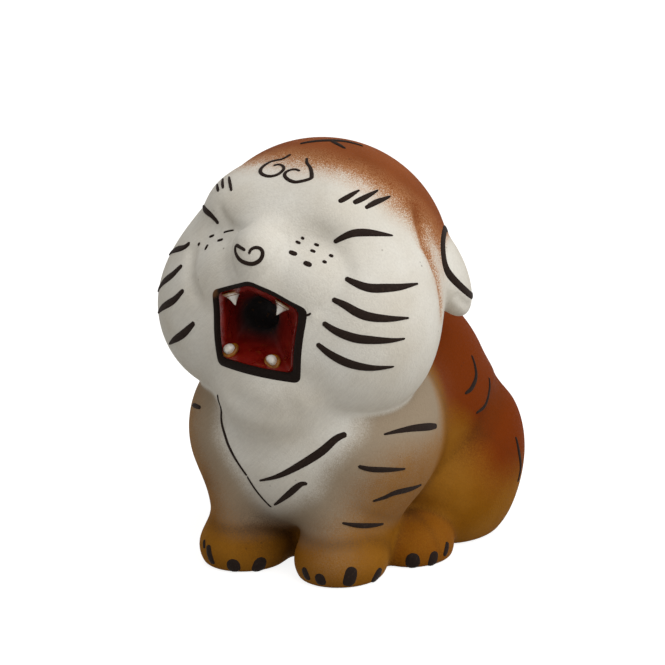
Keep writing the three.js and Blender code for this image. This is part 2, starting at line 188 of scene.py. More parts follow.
@dataclass(frozen=True)
class Lump:
    """One pressed lump of clay: an ellipsoid that blends into the lumps before it, or hollows them."""

    centre: Spot
    half: Spot
    blend: float = 1.0
    tilt: float = 0.0
    lean: float = 0.0
    yaw: float = 0.0
    hollow: bool = False

    def moved(self, offset: Spot) -> "Lump":
        """Return the lump moved by an offset."""
        x, y, z = (c + o for c, o in zip(self.centre, offset))
        return replace(self, centre=(x, y, z))

    def pair(self) -> list["Lump"]:
        """Return the lump on the cub's left and its mirrored twin."""
        x, y, z = self.centre
        return [self, replace(self, centre=(-x, y, z), lean=-self.lean, yaw=-self.yaw)]

    def turn(self) -> Array:
        """Return the matrix of the lump's own turn."""
        angles = [math.radians(angle) for angle in (self.tilt, self.lean, self.yaw)]
        return np.array(Euler(angles, "XYZ").to_matrix())

    def out(self, places: Array) -> Array:
        """Take places on a unit ball to the lump's surface."""
        return (places * self.half) @ self.turn().T + self.centre

    def distance(self, points: Array) -> Array:
        """Measure how far points lie outside the lump.

        Args:
            points: Places on the figure.

        Returns:
            Distances, below 0 inside.
        """
        near = (points - self.centre) @ self.turn() / self.half
        reach = np.linalg.norm(near, axis=1)
        return reach * (reach - 1.0) / (np.linalg.norm(near / self.half, axis=1) + TINY)


class Form:
    """Lumps blended in order into one rounded shape."""

    def __init__(self, lumps: Sequence[Lump]) -> None:
        """Keep the lumps and the box outside which the form counts as far away."""
        self.lumps = list(lumps)
        solid = [lump for lump in self.lumps if not lump.hollow]
        reach = [max(lump.half) + FORM_MARGIN for lump in solid]
        self.low = np.min([np.array(lump.centre) - r for lump, r in zip(solid, reach)], axis=0)
        self.high = np.max([np.array(lump.centre) + r for lump, r in zip(solid, reach)], axis=0)

    def distance(self, points: Array) -> Array:
        """Measure how far points lie outside the form.

        Args:
            points: Places on the figure.

        Returns:
            Distances, below 0 inside, and no more than the real ones far away from the form.
        """
        outside = np.linalg.norm(np.maximum(np.maximum(self.low - points, points - self.high), 0.0), axis=1)
        whole = outside + FORM_MARGIN
        close = outside <= 0.0
        near = points[close]
        blended = self.lumps[0].distance(near)
        for lump in self.lumps[1:]:
            if lump.hollow:
                blended = -smooth_min(-blended, lump.distance(near), lump.blend)
            else:
                blended = smooth_min(blended, lump.distance(near), lump.blend)
        whole[close] = blended
        return whole

    def valley(self, points: Array) -> Array:
        """Measure how much clay fills the creases between the lumps, in millimetres."""
        bare = np.min([lump.distance(points) for lump in self.lumps if not lump.hollow], axis=0)
        return np.clip(bare - self.distance(points), 0.0, FORM_MARGIN)

    def cast_out(self, core: Array, direction: Array) -> float:
        """Find how far the surface lies from a place inside, along a direction."""
        inside, outside = 0.0, FAR_AWAY
        for _ in range(CAST_STEPS):
            middle = (inside + outside) / 2
            if self.distance((core + direction * middle)[None])[0] < 0:
                inside = middle
            else:
                outside = middle
        return inside


@dataclass(frozen=True)
class HeadShape:
    """Lumps of the head, measured from its middle."""

    seam_forward: float = 1.0
    cranium: Lump = Lump((0, 0, 0), (23, 22.4, 22.4))
    left_jowl: Lump = Lump((11.4, -9.6, -8.3), (15.3, 14.2, 16.8), blend=7)
    right_jowl: Lump = Lump((-11.4, -9.6, -7.2), (15.3, 14.2, 16.0), blend=7)
    jaw: Lump = Lump((0, -13.5, -9.5), (14, 11.5, 14), blend=6)
    brow: Lump = Lump((8.2, -12.2, 11.6), (6.8, 6.8, 5.8), blend=5)
    eye_hollow: Lump = Lump((8.6, -24.6, 7.4), (5.6, 5.2, 2.3), blend=5, yaw=24, hollow=True)
    muzzle: Lump = Lump((0, -15, 1), (12.5, 10.5, 9.5), blend=4)
    whisker_pad: Lump = Lump((6.7, -17.8, 0.1), (7.4, 7, 7.2), blend=2.5)
    nose_bridge: Lump = Lump((0, -14.5, 10.5), (6.4, 8.5, 5.2), blend=5, tilt=35)
    upper_lip: Lump = Lump((0, -20, 2), (4.5, 7, 5), blend=3)
    nose: Lump = Lump((0, -20.6, 5.9), (5.5, 7.5, 6), blend=2)
    chin: Lump = Lump((0, -19.5, -20), (10, 6, 6.5), blend=4)
    middle_y: float = -11.0

    def middle(self) -> Spot:
        """Return the middle of the head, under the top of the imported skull."""
        return 0.0, self.middle_y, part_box("skull_shell")[1].z / MM - self.cranium.half[2]

    def form(self) -> Form:
        """Return the head's form in its place."""
        order = [
            self.cranium, self.left_jowl, self.right_jowl, self.jaw,
            *self.brow.pair(), *self.eye_hollow.pair(), self.muzzle, *self.whisker_pad.pair(),
            self.nose_bridge, self.upper_lip, self.nose, self.chin,
        ]
        return Form([lump.moved(self.middle()) for lump in order])


@dataclass(frozen=True)
class BodyShape:
    """Lumps of the body, with its core and the seam between its halves."""

    core: Spot = (0, 1, 20)
    seam_y: float = -2.5
    chest: Lump = Lump((0, -17, 24), (18, 15, 17))
    shoulder: Lump = Lump((12.5, -14.2, 24.1), (10.7, 15, 14.5), blend=5)
    foreleg: Lump = Lump((9.8, -18, 11), (7.2, 11.5, 16), blend=4)
    trunk: Lump = Lump((0, 7.5, 24.7), (22.6, 23.6, 23.5), blend=5)
    rump: Lump = Lump((0, 16, 16.4), (26.4, 19.5, 19), blend=3.5)
    haunch: Lump = Lump((16.8, 11.8, 10.8), (10, 15.5, 13.5), blend=3)
    seat: Lump = Lump((0, 3, 4), (15, 22, 10), blend=3)
    front_paw: Lump = Lump((9.8, -22.5, 3.4), (8.2, 9, 6.6))
    hind_paw: Lump = Lump((16.4, -6, 2.4), (6.8, 8.4, 5.7))
    base_y: float = 3.0
    base_half_width: float = 9.5
    base_half_depth: float = 14.0
    base_edge: float = 1.0

    def form(self) -> Form:
        """Return the body's form without its paws."""
        order = [
            self.chest, *self.shoulder.pair(), *self.foreleg.pair(),
            self.trunk, self.rump, *self.haunch.pair(), self.seat,
        ]
        return Form(order)


@dataclass(frozen=True)
class TailShape:
    """A tail that grows out of the rump and lies round the cub's right flank, by bearings from the core."""

    radius: float = 3.1
    proud: float = 0.8
    root_azimuth: float = 90.0
    tip_azimuth: float = 148.0
    root_elevation: float = -32.0
    tip_elevation: float = 14.0
    curl: float = 1.5
    root_share: float = 0.2
    steps: int = 22
    blend: float = 0.8

    def form(self, body: Form, core: Spot) -> Form:
        """Lay the tail on the body.

        Args:
            body: The form it lies on.
            core: The place from which its bearings are taken.

        Returns:
            The tail as a chain of round lumps.
        """
        lumps = []
        for share in np.linspace(0.0, 1.0, self.steps):
            azimuth = self.root_azimuth + (self.tip_azimuth - self.root_azimuth) * share
            rise = (self.tip_elevation - self.root_elevation) * share**self.curl
            direction = direction_of(azimuth, self.root_elevation + rise)
            emerged = min(share / self.root_share, 1.0)
            proud = -2 * self.radius + (self.proud + 2 * self.radius) * emerged
            spot = np.array(core) + direction * (body.cast_out(np.array(core), direction) + proud)
            lumps.append(Lump(tuple(spot), (self.radius,) * 3, blend=self.blend))
        return Form(lumps)


@dataclass(frozen=True)
class EarShape:
    """A domed ear, seated on the side of the head by a bearing from its middle."""

    azimuth: float = 23.1
    elevation: float = -1.4
    sink: float = 1.7
    half: Spot = (4.2, 8.4, 9.7)
    yaw: float = 28.0
    lean: float = -26.0

    def lump(self, head: Form, middle: Spot) -> Lump:
        """Seat the left ear.

        Args:
            head: The form that carries it.
            middle: The middle of the head.

        Returns:
            The ear's lump.
        """
        direction = direction_of(self.azimuth, self.elevation)
        spot = np.array(middle) + direction * (head.cast_out(np.array(middle), direction) - self.sink)
        return Lump(tuple(spot), self.half, lean=self.lean, yaw=self.yaw)


@dataclass(frozen=True)
class PhotoView:
    """The photograph's viewpoint, in millimetres, degrees and pixels."""

    azimuth: float = 28.0
    elevation: float = 14.0
    distance: float = 600.0
    target: Spot = (-3.11, -1.42, 38.85)
    focal: float = 3260.9
    frame: float = 665.0
    sensor: float = 36.0
    pixel_middle: float = 0.5
    clip_start: float = 0.01

    def axes(self) -> tuple[Array, Array, Array]:
        """Return the directions forward, right and up."""
        azimuth, elevation = math.radians(self.azimuth), math.radians(self.elevation)
        level = math.cos(elevation)
        forward = np.array([-math.sin(azimuth) * level, math.cos(azimuth) * level, -math.sin(elevation)])
        right = np.array([math.cos(azimuth), math.sin(azimuth), 0.0])
        return forward, right, np.cross(right, forward)

    def eye(self) -> Array:
        """Return the place of the lens."""
        return np.array(self.target) - self.distance * self.axes()[0]

    def rays(self, pixels: Array) -> Array:
        """Return the direction of sight through each pixel."""
        forward, right, up = self.axes()
        offset = (pixels + self.pixel_middle - self.frame / 2) / self.focal
        rays = forward + offset[:, :1] * right - offset[:, 1:] * up
        return rays / np.linalg.norm(rays, axis=1, keepdims=True)

    def add_camera(self) -> None:
        """Add the camera and make it the scene's own."""
        lens = bpy.data.cameras.new("photo_camera")
        lens.sensor_fit = "HORIZONTAL"
        lens.sensor_width = self.sensor
        lens.lens = self.focal * self.sensor / self.frame
        lens.clip_start = self.clip_start
        camera = bpy.data.objects.new("photo_camera", lens)
        camera.location = Vector(self.eye()) * MM
        camera.rotation_euler = Vector(self.axes()[0]).to_track_quat("-Z", "Y").to_euler()
        bpy.context.scene.collection.objects.link(camera)
        bpy.context.scene.camera = camera


@dataclass(frozen=True)
class Crease:
    """A soft groove pressed into the clay: its route over the photograph, its depth and its width.

    Its inner wall, towards the middle of the face, may be steeper, and it may carry a tint: sprayed oxide on
    the head, painted shade on the body.
    It fades over a share of its length at its start and at its end, may run on past what the photograph
    shows, and may have a twin on the other side with a share of its depth.
    """

    route: tuple[Pixel, ...]
    depth: float
    width: float
    twin: float = 0.0
    inner: float = 1.0
    tint: float = 0.0
    fade: Span = (0.2, 0.2)
    run_on: float = 0.0

    def strength(self, points: Array, route: Array) -> Array:
        """Measure how much of its depth the groove has at points.

        Args:
            points: Places near the surface.
            route: The groove's places on the surface.

        Returns:
            A share from 0 to 1 for each point.
        """
        reach = CREASE_REACH * self.width
        close = ((points > route.min(axis=0) - reach) & (points < route.max(axis=0) + reach)).all(axis=1)
        near = points[close]
        gap = np.full(len(near), FAR_AWAY)
        run = np.zeros(len(near))
        passed = 0.0
        for start, end in zip(route, route[1:]):
            edge = end - start
            length = np.linalg.norm(edge)
            share = np.clip((near - start) @ edge / length**2, 0.0, 1.0)
            offset = near - start - share[:, None] * edge
            steep = np.where(offset[:, 0] * start[0] < 0, self.inner, 1.0)
            away = np.linalg.norm(offset, axis=1) / (steep * self.width)
            run = np.where(away < gap, passed + share * length, run)
            gap = np.minimum(gap, away)
            passed = passed + length
        ends = ramp(run / passed, 0.0, self.fade[0]) * ramp(run / passed, 1.0, 1.0 - self.fade[1])
        strength = np.zeros(len(points))
        strength[close] = np.exp(-(gap**2)) * ends
        return strength


# Grooves by their places on the figure
CREASES = {
    "nose_wing": Crease(
        ((262, 214.5), (253.5, 219.5), (245, 224.5), (236, 230),
         (232, 240), (230, 255), (232, 267), (239, 280)),
        0.85, 0.75, twin=0.25, inner=0.6, fade=(0.5, 0.25),
    ),
    "far_brow": Crease(
        ((216, 196), (219, 207), (222.5, 217), (228, 225.5), (238, 229), (249, 226)),
        0.65, 0.95, fade=(0.35, 0.4),
    ),
    "far_cheek": Crease(
        ((194, 240), (191, 255), (190, 275), (194, 290), (203, 303)),
        0.85, 1.6, twin=0.4, inner=0.6,
    ),
    "ear_front": Crease(
        ((412, 200), (418, 222), (424, 245), (432, 262), (438, 280), (441, 300), (441, 325)),
        0.7, 0.9, twin=1.0, tint=0.35, fade=(0.2, 0.17),
    ),
    "ear_foot": Crease(((452.4, 291.7), (460.2, 299.5), (469.3, 307.2)), 0.4, 0.8, twin=1.0),
    "under_chin": Crease(((222, 385), (240, 402), (262, 412), (285, 412), (303, 398)), 0.5, 2.4),
    # Its tint is painted shade along the valley between the back and the haunch
    "flank": Crease(
        ((430, 500), (441, 476), (454.5, 463), (467.5, 447.5),
         (480, 433), (491, 419), (497, 402), (503, 383)),
        1.4, 2.2, twin=0.6, tint=0.3, fade=(0.4, 0.25), run_on=8.0,
    ),
}


class Figure:
    """The whole cub as one blended surface, with a flat floor."""

    NECK_BLEND = 1.4
    CHIN_BLEND = 6.0
    ANKLE_BLEND = 2.4
    EAR_BLEND = 0.9
    TAIL_BLEND = 1.2
    FLOOR_ROUND = 0.8
    MARCH_STEPS = 90
    STRIDE = 0.8
    LEAD = 70.0
    CARRY_STEP = 1.0
    LEAST_STEEP = 0.2

    def __init__(self) -> None:
        """Seat every form in its place."""
        self.head_shape = HeadShape()
        self.body_shape = BodyShape()
        self.view = PhotoView()
        self.head = self.head_shape.form()
        self.body = self.body_shape.form()
        middle = self.head_shape.middle()
        self.ear = EarShape().lump(self.head, middle)
        self.forms = {
            "head": self.head,
            "body": self.body,
            "tail": TailShape().form(self.body, self.body_shape.core),
        }
        paired = {
            "ear": self.ear,
            "front_paw": self.body_shape.front_paw,
            "hind_paw": self.body_shape.hind_paw,
        }
        for name, lump in paired.items():
            for side, one in zip(SIDES, lump.pair()):
                self.forms[f"{side}_{name}"] = Form([one])
        self.middle = np.array(middle)
        self.creases: list[tuple[Crease, Array, float]] = []
        for crease in CREASES.values():
            route = self.carried_on(self.cast(np.array(crease.route, float)), crease.run_on)
            self.creases.append((crease, route, crease.depth))
            if crease.twin:
                self.creases.append((crease, route * MIRROR, crease.depth * crease.twin))

    def parts(self, points: Array) -> dict[str, Array]:
        """Measure how far points lie outside each form, by its name."""
        return {name: form.distance(points) for name, form in self.forms.items()}

    def blended(self, points: Array, parts: dict[str, Array]) -> Array:
        """Blend the forms' distances.

        Args:
            points: Places on the figure.
            parts: Their distances from each form.

        Returns:
            The distance from the whole figure.
        """
        whole = parts["body"]
        for side in SIDES:
            for paw in PAWS:
                whole = smooth_min(whole, parts[f"{side}_{paw}"], self.ANKLE_BLEND)
        whole = smooth_min(whole, parts["tail"], self.TAIL_BLEND)
        chin = ramp(np.abs(points[:, 0] - CHIN_MERGE.middle), CHIN_MERGE.fade, CHIN_MERGE.full)
        chin = chin * ramp(points[:, 1], CHIN_MERGE.back, CHIN_MERGE.front)
        neck = self.NECK_BLEND + (self.CHIN_BLEND - self.NECK_BLEND) * chin
        head = parts["head"]
        for side in SIDES:
            head = smooth_min(head, parts[f"{side}_ear"], self.EAR_BLEND)
        whole = smooth_min(whole, head, neck)
        for crease, route, depth in self.creases:
            whole = whole + depth * crease.strength(points, route)
        return -smooth_min(-whole, points[:, 2], self.FLOOR_ROUND)

    def distance(self, points: Array) -> Array:
        """Measure how far points lie outside the figure."""
        return self.blended(points, self.parts(points))

    def slope(self, points: Array) -> tuple[Array, Array]:
        """Measure the distance and its steepest rise.

        Args:
            points: Places near the surface.

        Returns:
            The distances, and the gradients.
        """
        corners = np.array([(1, -1, -1), (-1, -1, 1), (-1, 1, -1), (1, 1, 1)], float)
        found = [self.distance(points + corner * PROBE) for corner in corners]
        gradient = sum(value[:, None] * corner for value, corner in zip(found, corners)) / (4 * PROBE)
        return sum(found) / len(corners), gradient

    def normals(self, points: Array) -> Array:
        """Return the surface's outward directions."""
        gradient = self.slope(points)[1]
        return gradient / (np.linalg.norm(gradient, axis=1, keepdims=True) + TINY)

    def press(self, points: Array, rounds: int = 3) -> Array:
        """Press points onto the surface.

        Args:
            points: Places near the surface.
            rounds: How often they are pressed.

        Returns:
            The places on the surface.
        """
        for _ in range(rounds):
            distance, gradient = self.slope(points)
            steep = np.maximum((gradient**2).sum(axis=1), self.LEAST_STEEP)
            points = points - gradient * (distance / steep)[:, None]
        return points

    def march(self, starts: Array, directions: Array, reach: float) -> Array:
        """Follow rays to the surface, or to where they pass closest to it.

        Args:
            starts: Where the rays start, outside the figure.
            directions: Their directions.
            reach: How far they run.

        Returns:
            The places on the surface.
        """
        travel = np.zeros(len(starts))
        best = np.full(len(starts), FAR_AWAY)
        places = starts.copy()
        for _ in range(self.MARCH_STEPS):
            points = starts + directions * np.minimum(travel, reach)[:, None]
            distance = self.distance(points)
            better = distance < best
            places[better] = points[better]
            best = np.minimum(best, distance)
            travel = travel + np.where(distance > PROBE, np.maximum(distance * self.STRIDE, PROBE), 0.0)
        return self.press(places, rounds=2)

    def cast(self, pixels: Array) -> Array:
        """Find the places that the photograph shows at pixels."""
        rays = self.view.rays(pixels)
        starts = self.view.eye() + rays * (self.view.distance - self.LEAD)
        return self.march(starts, rays, 2 * self.LEAD)

    def carried_on(self, route: Array, length: float) -> Array:
        """Carry a route on round the surface, past what the photograph shows.

        Args:
            route: Places on the surface.
            length: How much further it runs.

        Returns:
            The longer route.
        """
        for _ in range(int(length / self.CARRY_STEP)):
            normal = self.normals(route[-1:])[0]
            ahead = route[-1] - route[-2]
            ahead = ahead - normal * (ahead @ normal)
            place = route[-1] + ahead / (np.linalg.norm(ahead) + TINY) * self.CARRY_STEP
            route = np.concatenate([route, self.press(place[None])])
        return route


@dataclass(frozen=True)
class ChinMerge:
    """Where the chin runs softly into the bib, across and from front to back."""

    middle: float = -1.0
    full: float = 3.0
    fade: float = 20.0
    front: float = -26.0
    back: float = -18.0


CHIN_MERGE = ChinMerge()


@dataclass
class Clay:
    """A triangle mesh in millimetres, with named values of paint at its points."""

    points: Array
    triangles: Array
    paint: dict[str, Array] = field(default_factory=dict)

    def relaxed(self, strength: float) -> Array:
        """Return the points moved a share of the way to the middle of their neighbours."""
        starts = self.triangles.ravel()
        ends = self.triangles[:, (1, 2, 0)].ravel()
        count = len(self.points)
        shared = np.maximum(np.bincount(starts, minlength=count), 1)
        around = [np.bincount(starts, self.points[ends, axis], count) / shared for axis in range(3)]
        return self.points + (np.stack(around, axis=1) - self.points) * strength

    def only(self, triangles: Array) -> "Clay":
        """Return a mesh of some triangles and their points, without triangles that name a point twice."""
        flat = (triangles == np.roll(triangles, 1, axis=1)).any(axis=1)
        used, order = np.unique(triangles[~flat], return_inverse=True)
        paint = {name: values[used] for name, values in self.paint.items()}
        return Clay(self.points[used], order.reshape(-1, 3), paint)

    def cut(self, values: Array) -> tuple["Clay", "Clay"]:
        """Part the mesh along the line where values pass zero.

        Args:
            values: One value for each point.

        Returns:
            The mesh where the values are below zero, and the rest.
        """
        values = np.where(np.abs(values) < SNAP, 0.0, values)
        below = values < 0
        low, high = below[self.triangles].any(axis=1), (values > 0)[self.triangles].any(axis=1)
        mixed = self.triangles[low & high]
        flags = below[mixed]
        lone = np.where(flags.sum(axis=1) == 1, flags.argmax(axis=1), (~flags).argmax(axis=1))
        rows = np.arange(len(mixed))
        tip, after, before = (mixed[rows, (lone + step) % 3] for step in range(3))
        edges = np.sort(np.concatenate([np.stack([tip, after], 1), np.stack([tip, before], 1)]), axis=1)
        unique, order = np.unique(edges, axis=0, return_inverse=True)
        one, other = unique[:, 0], unique[:, 1]
        share = values[one] / (values[one] - values[other])
        fresh = self.points[one] + (self.points[other] - self.points[one]) * share[:, None]
        paints = {}
        for name, paint in self.paint.items():
            paints[name] = np.concatenate([paint, paint[one] + (paint[other] - paint[one]) * share])
        place = np.arange(len(unique)) + len(self.points)
        place = np.where(values[one] == 0, one, np.where(values[other] == 0, other, place))
        order = place[order.reshape(-1)]
        first, second = order[: len(mixed)], order[len(mixed) :]
        tips = np.stack([tip, first, second], 1)
        rests = np.concatenate([np.stack([first, after, before], 1), np.stack([first, before, second], 1)])
        tip_below = below[tip]
        rest_below = np.concatenate([tip_below, tip_below])
        joined = Clay(np.concatenate([self.points, fresh]), self.triangles, paints)
        under = np.concatenate([self.triangles[low & ~high], tips[tip_below], rests[~rest_below]])
        over = np.concatenate([self.triangles[~low], tips[~tip_below], rests[rest_below]])
        return joined.only(under), joined.only(over)

    def to_object(self, name: str) -> Piece:
        """Make a mesh object in metres.

        Args:
            name: The name of the object.

        Returns:
            The object, at the origin.
        """
        mesh = bpy.data.meshes.new(name)
        mesh.from_pydata((self.points * MM).tolist(), [], self.triangles.tolist())
        piece = bpy.data.objects.new(name, mesh)
        for paint_name, values in self.paint.items():
            paint_on(piece, paint_name, values)
        mesh.update()
        bpy.context.scene.collection.objects.link(piece)
        return piece


def choose(piece: Piece) -> None:
    """Select one object alone and make it active."""
    bpy.ops.object.select_all(action="DESELECT")
    piece.select_set(True)
    bpy.context.view_layer.objects.active = piece


def apply_modifier(piece: Piece, kind: str, **settings: object) -> None:
    """Add a modifier and apply it at once.

    Args:
        piece: The object.
        kind: The modifier's type.
        settings: Its settings by name.
    """
    choose(piece)
    modifier = piece.modifiers.new(kind.lower(), kind)
    for name, value in settings.items():
        setattr(modifier, name, value)
    bpy.ops.object.modifier_apply(modifier=modifier.name)


def dress(piece: Piece, material: Material) -> Piece:
    """Shade a piece smooth, apart from its sharp edges, and give it its material.

    Args:
        piece: The object.
        material: Its material.

    Returns:
        The object.
    """
    choose(piece)
    bpy.ops.object.shade_smooth_by_angle(angle=math.radians(SHARP))
    piece.data.materials.append(material)
    return piece


def join_all(pieces: Sequence[Piece], name: str) -> Piece:
    """Join objects into one.

    Args:
        pieces: The objects.
        name: The name of the joined one.

    Returns:
        The joined object.
    """
    bpy.ops.object.select_all(action="DESELECT")
    for piece in pieces:
        piece.select_set(True)
    bpy.context.view_layer.objects.active = pieces[0]
    if len(pieces) > 1:
        bpy.ops.object.join()
    joined = bpy.context.view_layer.objects.active
    joined.name = name
    joined.data.name = name
    return joined


def places_of(piece: Piece) -> Array:
    """Return an object's points in millimetres."""
    places = np.empty(len(piece.data.vertices) * 3)
    piece.data.vertices.foreach_get("co", places)
    return places.reshape(-1, 3) / MM


def paint_on(piece: Piece, name: str, values: Array) -> None:
    """Give an object's points a named value of paint."""
    layer = piece.data.attributes.new(name, "FLOAT", "POINT")
    layer.data.foreach_set("value", values.astype(np.float32))


def laid_grid(name: str, places: Array) -> Piece:
    """Lay a grid over rows of places.

    Args:
        name: The name of the object.
        places: Rows by columns by three, in millimetres.

    Returns:
        The object.
    """
    rows, columns = places.shape[:2]
    bpy.ops.object.select_all(action="DESELECT")
    bpy.ops.mesh.primitive_grid_add(x_subdivisions=columns - 1, y_subdivisions=rows - 1, size=1.0)
    piece = bpy.context.active_object
    piece.name = name
    piece.data.name = name
    piece.data.vertices.foreach_set("co", (places.reshape(-1, 3) * MM).ravel())
    piece.data.update()
    return piece


def wrapped_grid(name: str, rings: Array, closed_rings: bool = False) -> Piece:
    """Wrap a grid round closed rings of points and weld its seam.

    Args:
        name: The name of the object.
        rings: Rings by points by three, in millimetres.
        closed_rings: Whether the last ring meets the first one too.

    Returns:
        The object, with its faces outwards where it is closed.
    """
    loop = np.concatenate([rings, rings[:, :1]], axis=1)
    if closed_rings:
        loop = np.concatenate([loop, loop[:1]], axis=0)
    piece = laid_grid(name, loop)
    bpy.ops.object.mode_set(mode="EDIT")
    bpy.ops.mesh.select_all(action="SELECT")
    bpy.ops.mesh.remove_doubles(threshold=WELD * MM)
    bpy.ops.mesh.normals_make_consistent(inside=False)
    bpy.ops.object.mode_set(mode="OBJECT")
    return piece


class Tree:
    """A shader node tree with short ways to add and link nodes."""

    def __init__(self, tree: bpy.types.NodeTree) -> None:
        """Start from an empty tree."""
        self.tree = tree
        tree.nodes.clear()

    def add(
        self, kind: str, inputs: dict[str | int, object] | None = None, **settings: object
    ) -> bpy.types.Node:
        """Add a node.

        Args:
            kind: The node's type, without its leading words.
            inputs: Values or output sockets for its inputs.
            settings: Its own settings by name.

        Returns:
            The node.
        """
        node = self.tree.nodes.new(f"ShaderNode{kind}")
        for name, value in settings.items():
            setattr(node, name, value)
        for name, value in (inputs or {}).items():
            if isinstance(value, Socket):
                self.tree.links.new(value, node.inputs[name])
            else:
                node.inputs[name].default_value = value
        return node

    def paint(self, name: str) -> Socket:
        """Return the value of a painted attribute."""
        return self.add("Attribute", attribute_name=name).outputs["Fac"]

    def mix(self, share: object, one: object, other: object) -> Socket:
        """Mix two colours, written or from sockets, by a share."""
        one, other = (colour(paint) if isinstance(paint, str) else paint for paint in (one, other))
        return self.add("Mix", {0: share, 6: one, 7: other}, data_type="RGBA").outputs[2]

    def math(self, work: str, one: object, other: object) -> Socket:
        """Work out one number from two."""
        return self.add("Math", {0: one, 1: other}, operation=work).outputs[0]

    def spread(self, value: object, source: Span, to: Span = FULL) -> Socket:
        """Map a range of values to another one."""
        ends = ("From Min", "From Max", "To Min", "To Max")
        return self.add("MapRange", {"Value": value, **dict(zip(ends, source + to))}).outputs["Result"]

    def noise(self, vector: object, scale: float, detail: float = 2.0) -> Socket:
        """Return a noise value."""
        return self.add("TexNoise", {"Vector": vector, "Scale": scale, "Detail": detail}).outputs["Fac"]


def node_group(
    name: str, takes: Sequence[str], gives: Sequence[str]
) -> tuple[Tree, bpy.types.Node, bpy.types.Node]:
    """Start a shader node group.

    Args:
        name: Its name.
        takes: Its inputs beside the place on the object.
        gives: Its outputs.

    Returns:
        The group's tree, its entry and its exit.
    """
    group = bpy.data.node_groups.new(name, "ShaderNodeTree")
    group.interface.new_socket("Vector", in_out="INPUT", socket_type="NodeSocketVector")
    for way, sockets in (("INPUT", takes), ("OUTPUT", gives)):
        for socket in sockets:
            group.interface.new_socket(socket, in_out=way, socket_type="NodeSocketFloat")
    tree = Tree(group)
    return tree, group.nodes.new("NodeGroupInput"), group.nodes.new("NodeGroupOutput")


@dataclass(frozen=True)
class ClayGrain:
    """The grain that painted clay shares: its noises' scales and details, and its specks' limits."""

    hair_turn: Spot = (0.3, 0.75, 0.3)
    hair_stretch: Spot = (1.0, 1.1, 6.0)
    hair_scale: float = 2600.0
    tooth_scale: float = 3000.0
    tooth_detail: float = 3.0
    blotch_scale: float = 95.0
    blotch_detail: float = 4.0
    speck_scale: float = 420.0
    speck_size: Span = (0.11, 0.05)
    pick_scale: float = 300.0
    pick_detail: float = 0.0
    picked: Span = (0.60, 0.66)

    def group(self) -> bpy.types.NodeTree:
        """Build brush hairs, tooth, blotches and dark specks.

        Returns:
            The node group.
        """
        tree, entry, leave = node_group("clay_grain", (), ("Hair", "Tooth", "Blotch", "Speck"))
        place = entry.outputs["Vector"]
        turn = {"Vector": place, "Rotation": self.hair_turn, "Scale": self.hair_stretch}
        turned = tree.add("Mapping", turn, vector_type="TEXTURE").outputs[0]
        cells = tree.add("TexVoronoi", {"Vector": place, "Scale": self.speck_scale})
        speck = tree.spread(cells.outputs["Distance"], self.speck_size)
        picked = tree.spread(tree.noise(place, self.pick_scale, self.pick_detail), self.picked)
        made = {
            "Hair": tree.noise(turned, self.hair_scale),
            "Tooth": tree.noise(place, self.tooth_scale, self.tooth_detail),
            "Blotch": tree.noise(place, self.blotch_scale, self.blotch_detail),
            "Speck": tree.math("MULTIPLY", speck, picked),
        }
        for name, value in made.items():
            tree.tree.links.new(value, leave.inputs[name])
        return tree.tree


@dataclass(frozen=True)
class SpeckledEdge:
    """The broken edge of sprayed or dry-brushed paint: its fine spray and its wider patches."""

    spray_scale: float = 4600.0
    spray_detail: float = 1.0
    spray_share: float = 1.8
    patch_scale: float = 260.0
    patch_detail: float = 3.0
    patch_share: float = 0.6
    level: float = 1.2
    room: float = 4.0

    def group(self) -> bpy.types.NodeTree:
        """Build the edge.

        Returns:
            The node group, which takes a soft mask and gives a speckled one.
        """
        tree, entry, leave = node_group("speckled_edge", ("Mask", "Break"), ("Mask",))
        place, mask = entry.outputs["Vector"], entry.outputs["Mask"]
        spray = tree.noise(place, self.spray_scale, self.spray_detail)
        patch = tree.noise(place, self.patch_scale, self.patch_detail)
        spray = tree.math("MULTIPLY", spray, self.spray_share)
        patch = tree.math("MULTIPLY", patch, self.patch_share)
        centred = tree.math("SUBTRACT", tree.math("ADD", spray, patch), self.level)
        soft = tree.math("MULTIPLY", mask, tree.math("SUBTRACT", 1.0, mask))
        broken = tree.math("MULTIPLY", centred, entry.outputs["Break"])
        broken = tree.math("MULTIPLY", broken, tree.math("MULTIPLY", soft, self.room))
        speckled = tree.spread(tree.math("ADD", mask, broken), FULL)
        tree.tree.links.new(speckled, leave.inputs["Mask"])
        return tree.tree


@dataclass(frozen=True)
class PaintedClay:
    """Matte slip and sprayed coats over clay."""

    slip: str = "#e6e2d8"
    slip_warm: str = "#d9d2c4"
    tan: str = "#bd8a5e"
    brown: str = "#8f4d26"
    brown_deep: str = "#7f421e"
    ochre: str = "#98651e"
    ochre_deep: str = "#8a560a"
    rust: str = "#742f02"
    taupe: str = "#a08f79"
    # Dark brown of the painted shade in creases, at the ankles and under the head, and of brush-hair streaks
    # and specks
    crease: str = "#452a10"
    spray: float = 0.85
    brush: float = 0.5
    blotch: Span = (0.32, 0.68)
    tan_rise: Span = (0.0, 0.55)
    brown_rise: Span = (0.3, 1.0)
    hair_shade: float = 0.16
    hair_dark: float = 0.5
    hair_height: float = 0.6
    speck: float = 0.55
    gloss: float = 0.06
    tooth_depth: float = 0.07
    rough: Span = (0.68, 0.86)


@dataclass(frozen=True)
class BrushInk:
    """Matte dark brush ink."""

    name: str = "brush_ink"
    ink: str = "#251b16"
    thin: str = "#4a3a2e"
    bare: str = "#5d3f26"
    thin_hair: Span = (0.58, 0.8)
    thinning: float = 0.4
    gloss: float = 0.1
    tooth_depth: float = 0.05
    rough: Span = (0.72, 0.88)


@dataclass(frozen=True)
class BareClay:
    """Unpainted fired clay."""

    pale: str = "#b8835a"
    dark: str = "#a06a44"
    speck: str = "#5c3a24"
    tooth_depth: float = 0.08
    rough: Span = (0.75, 0.92)


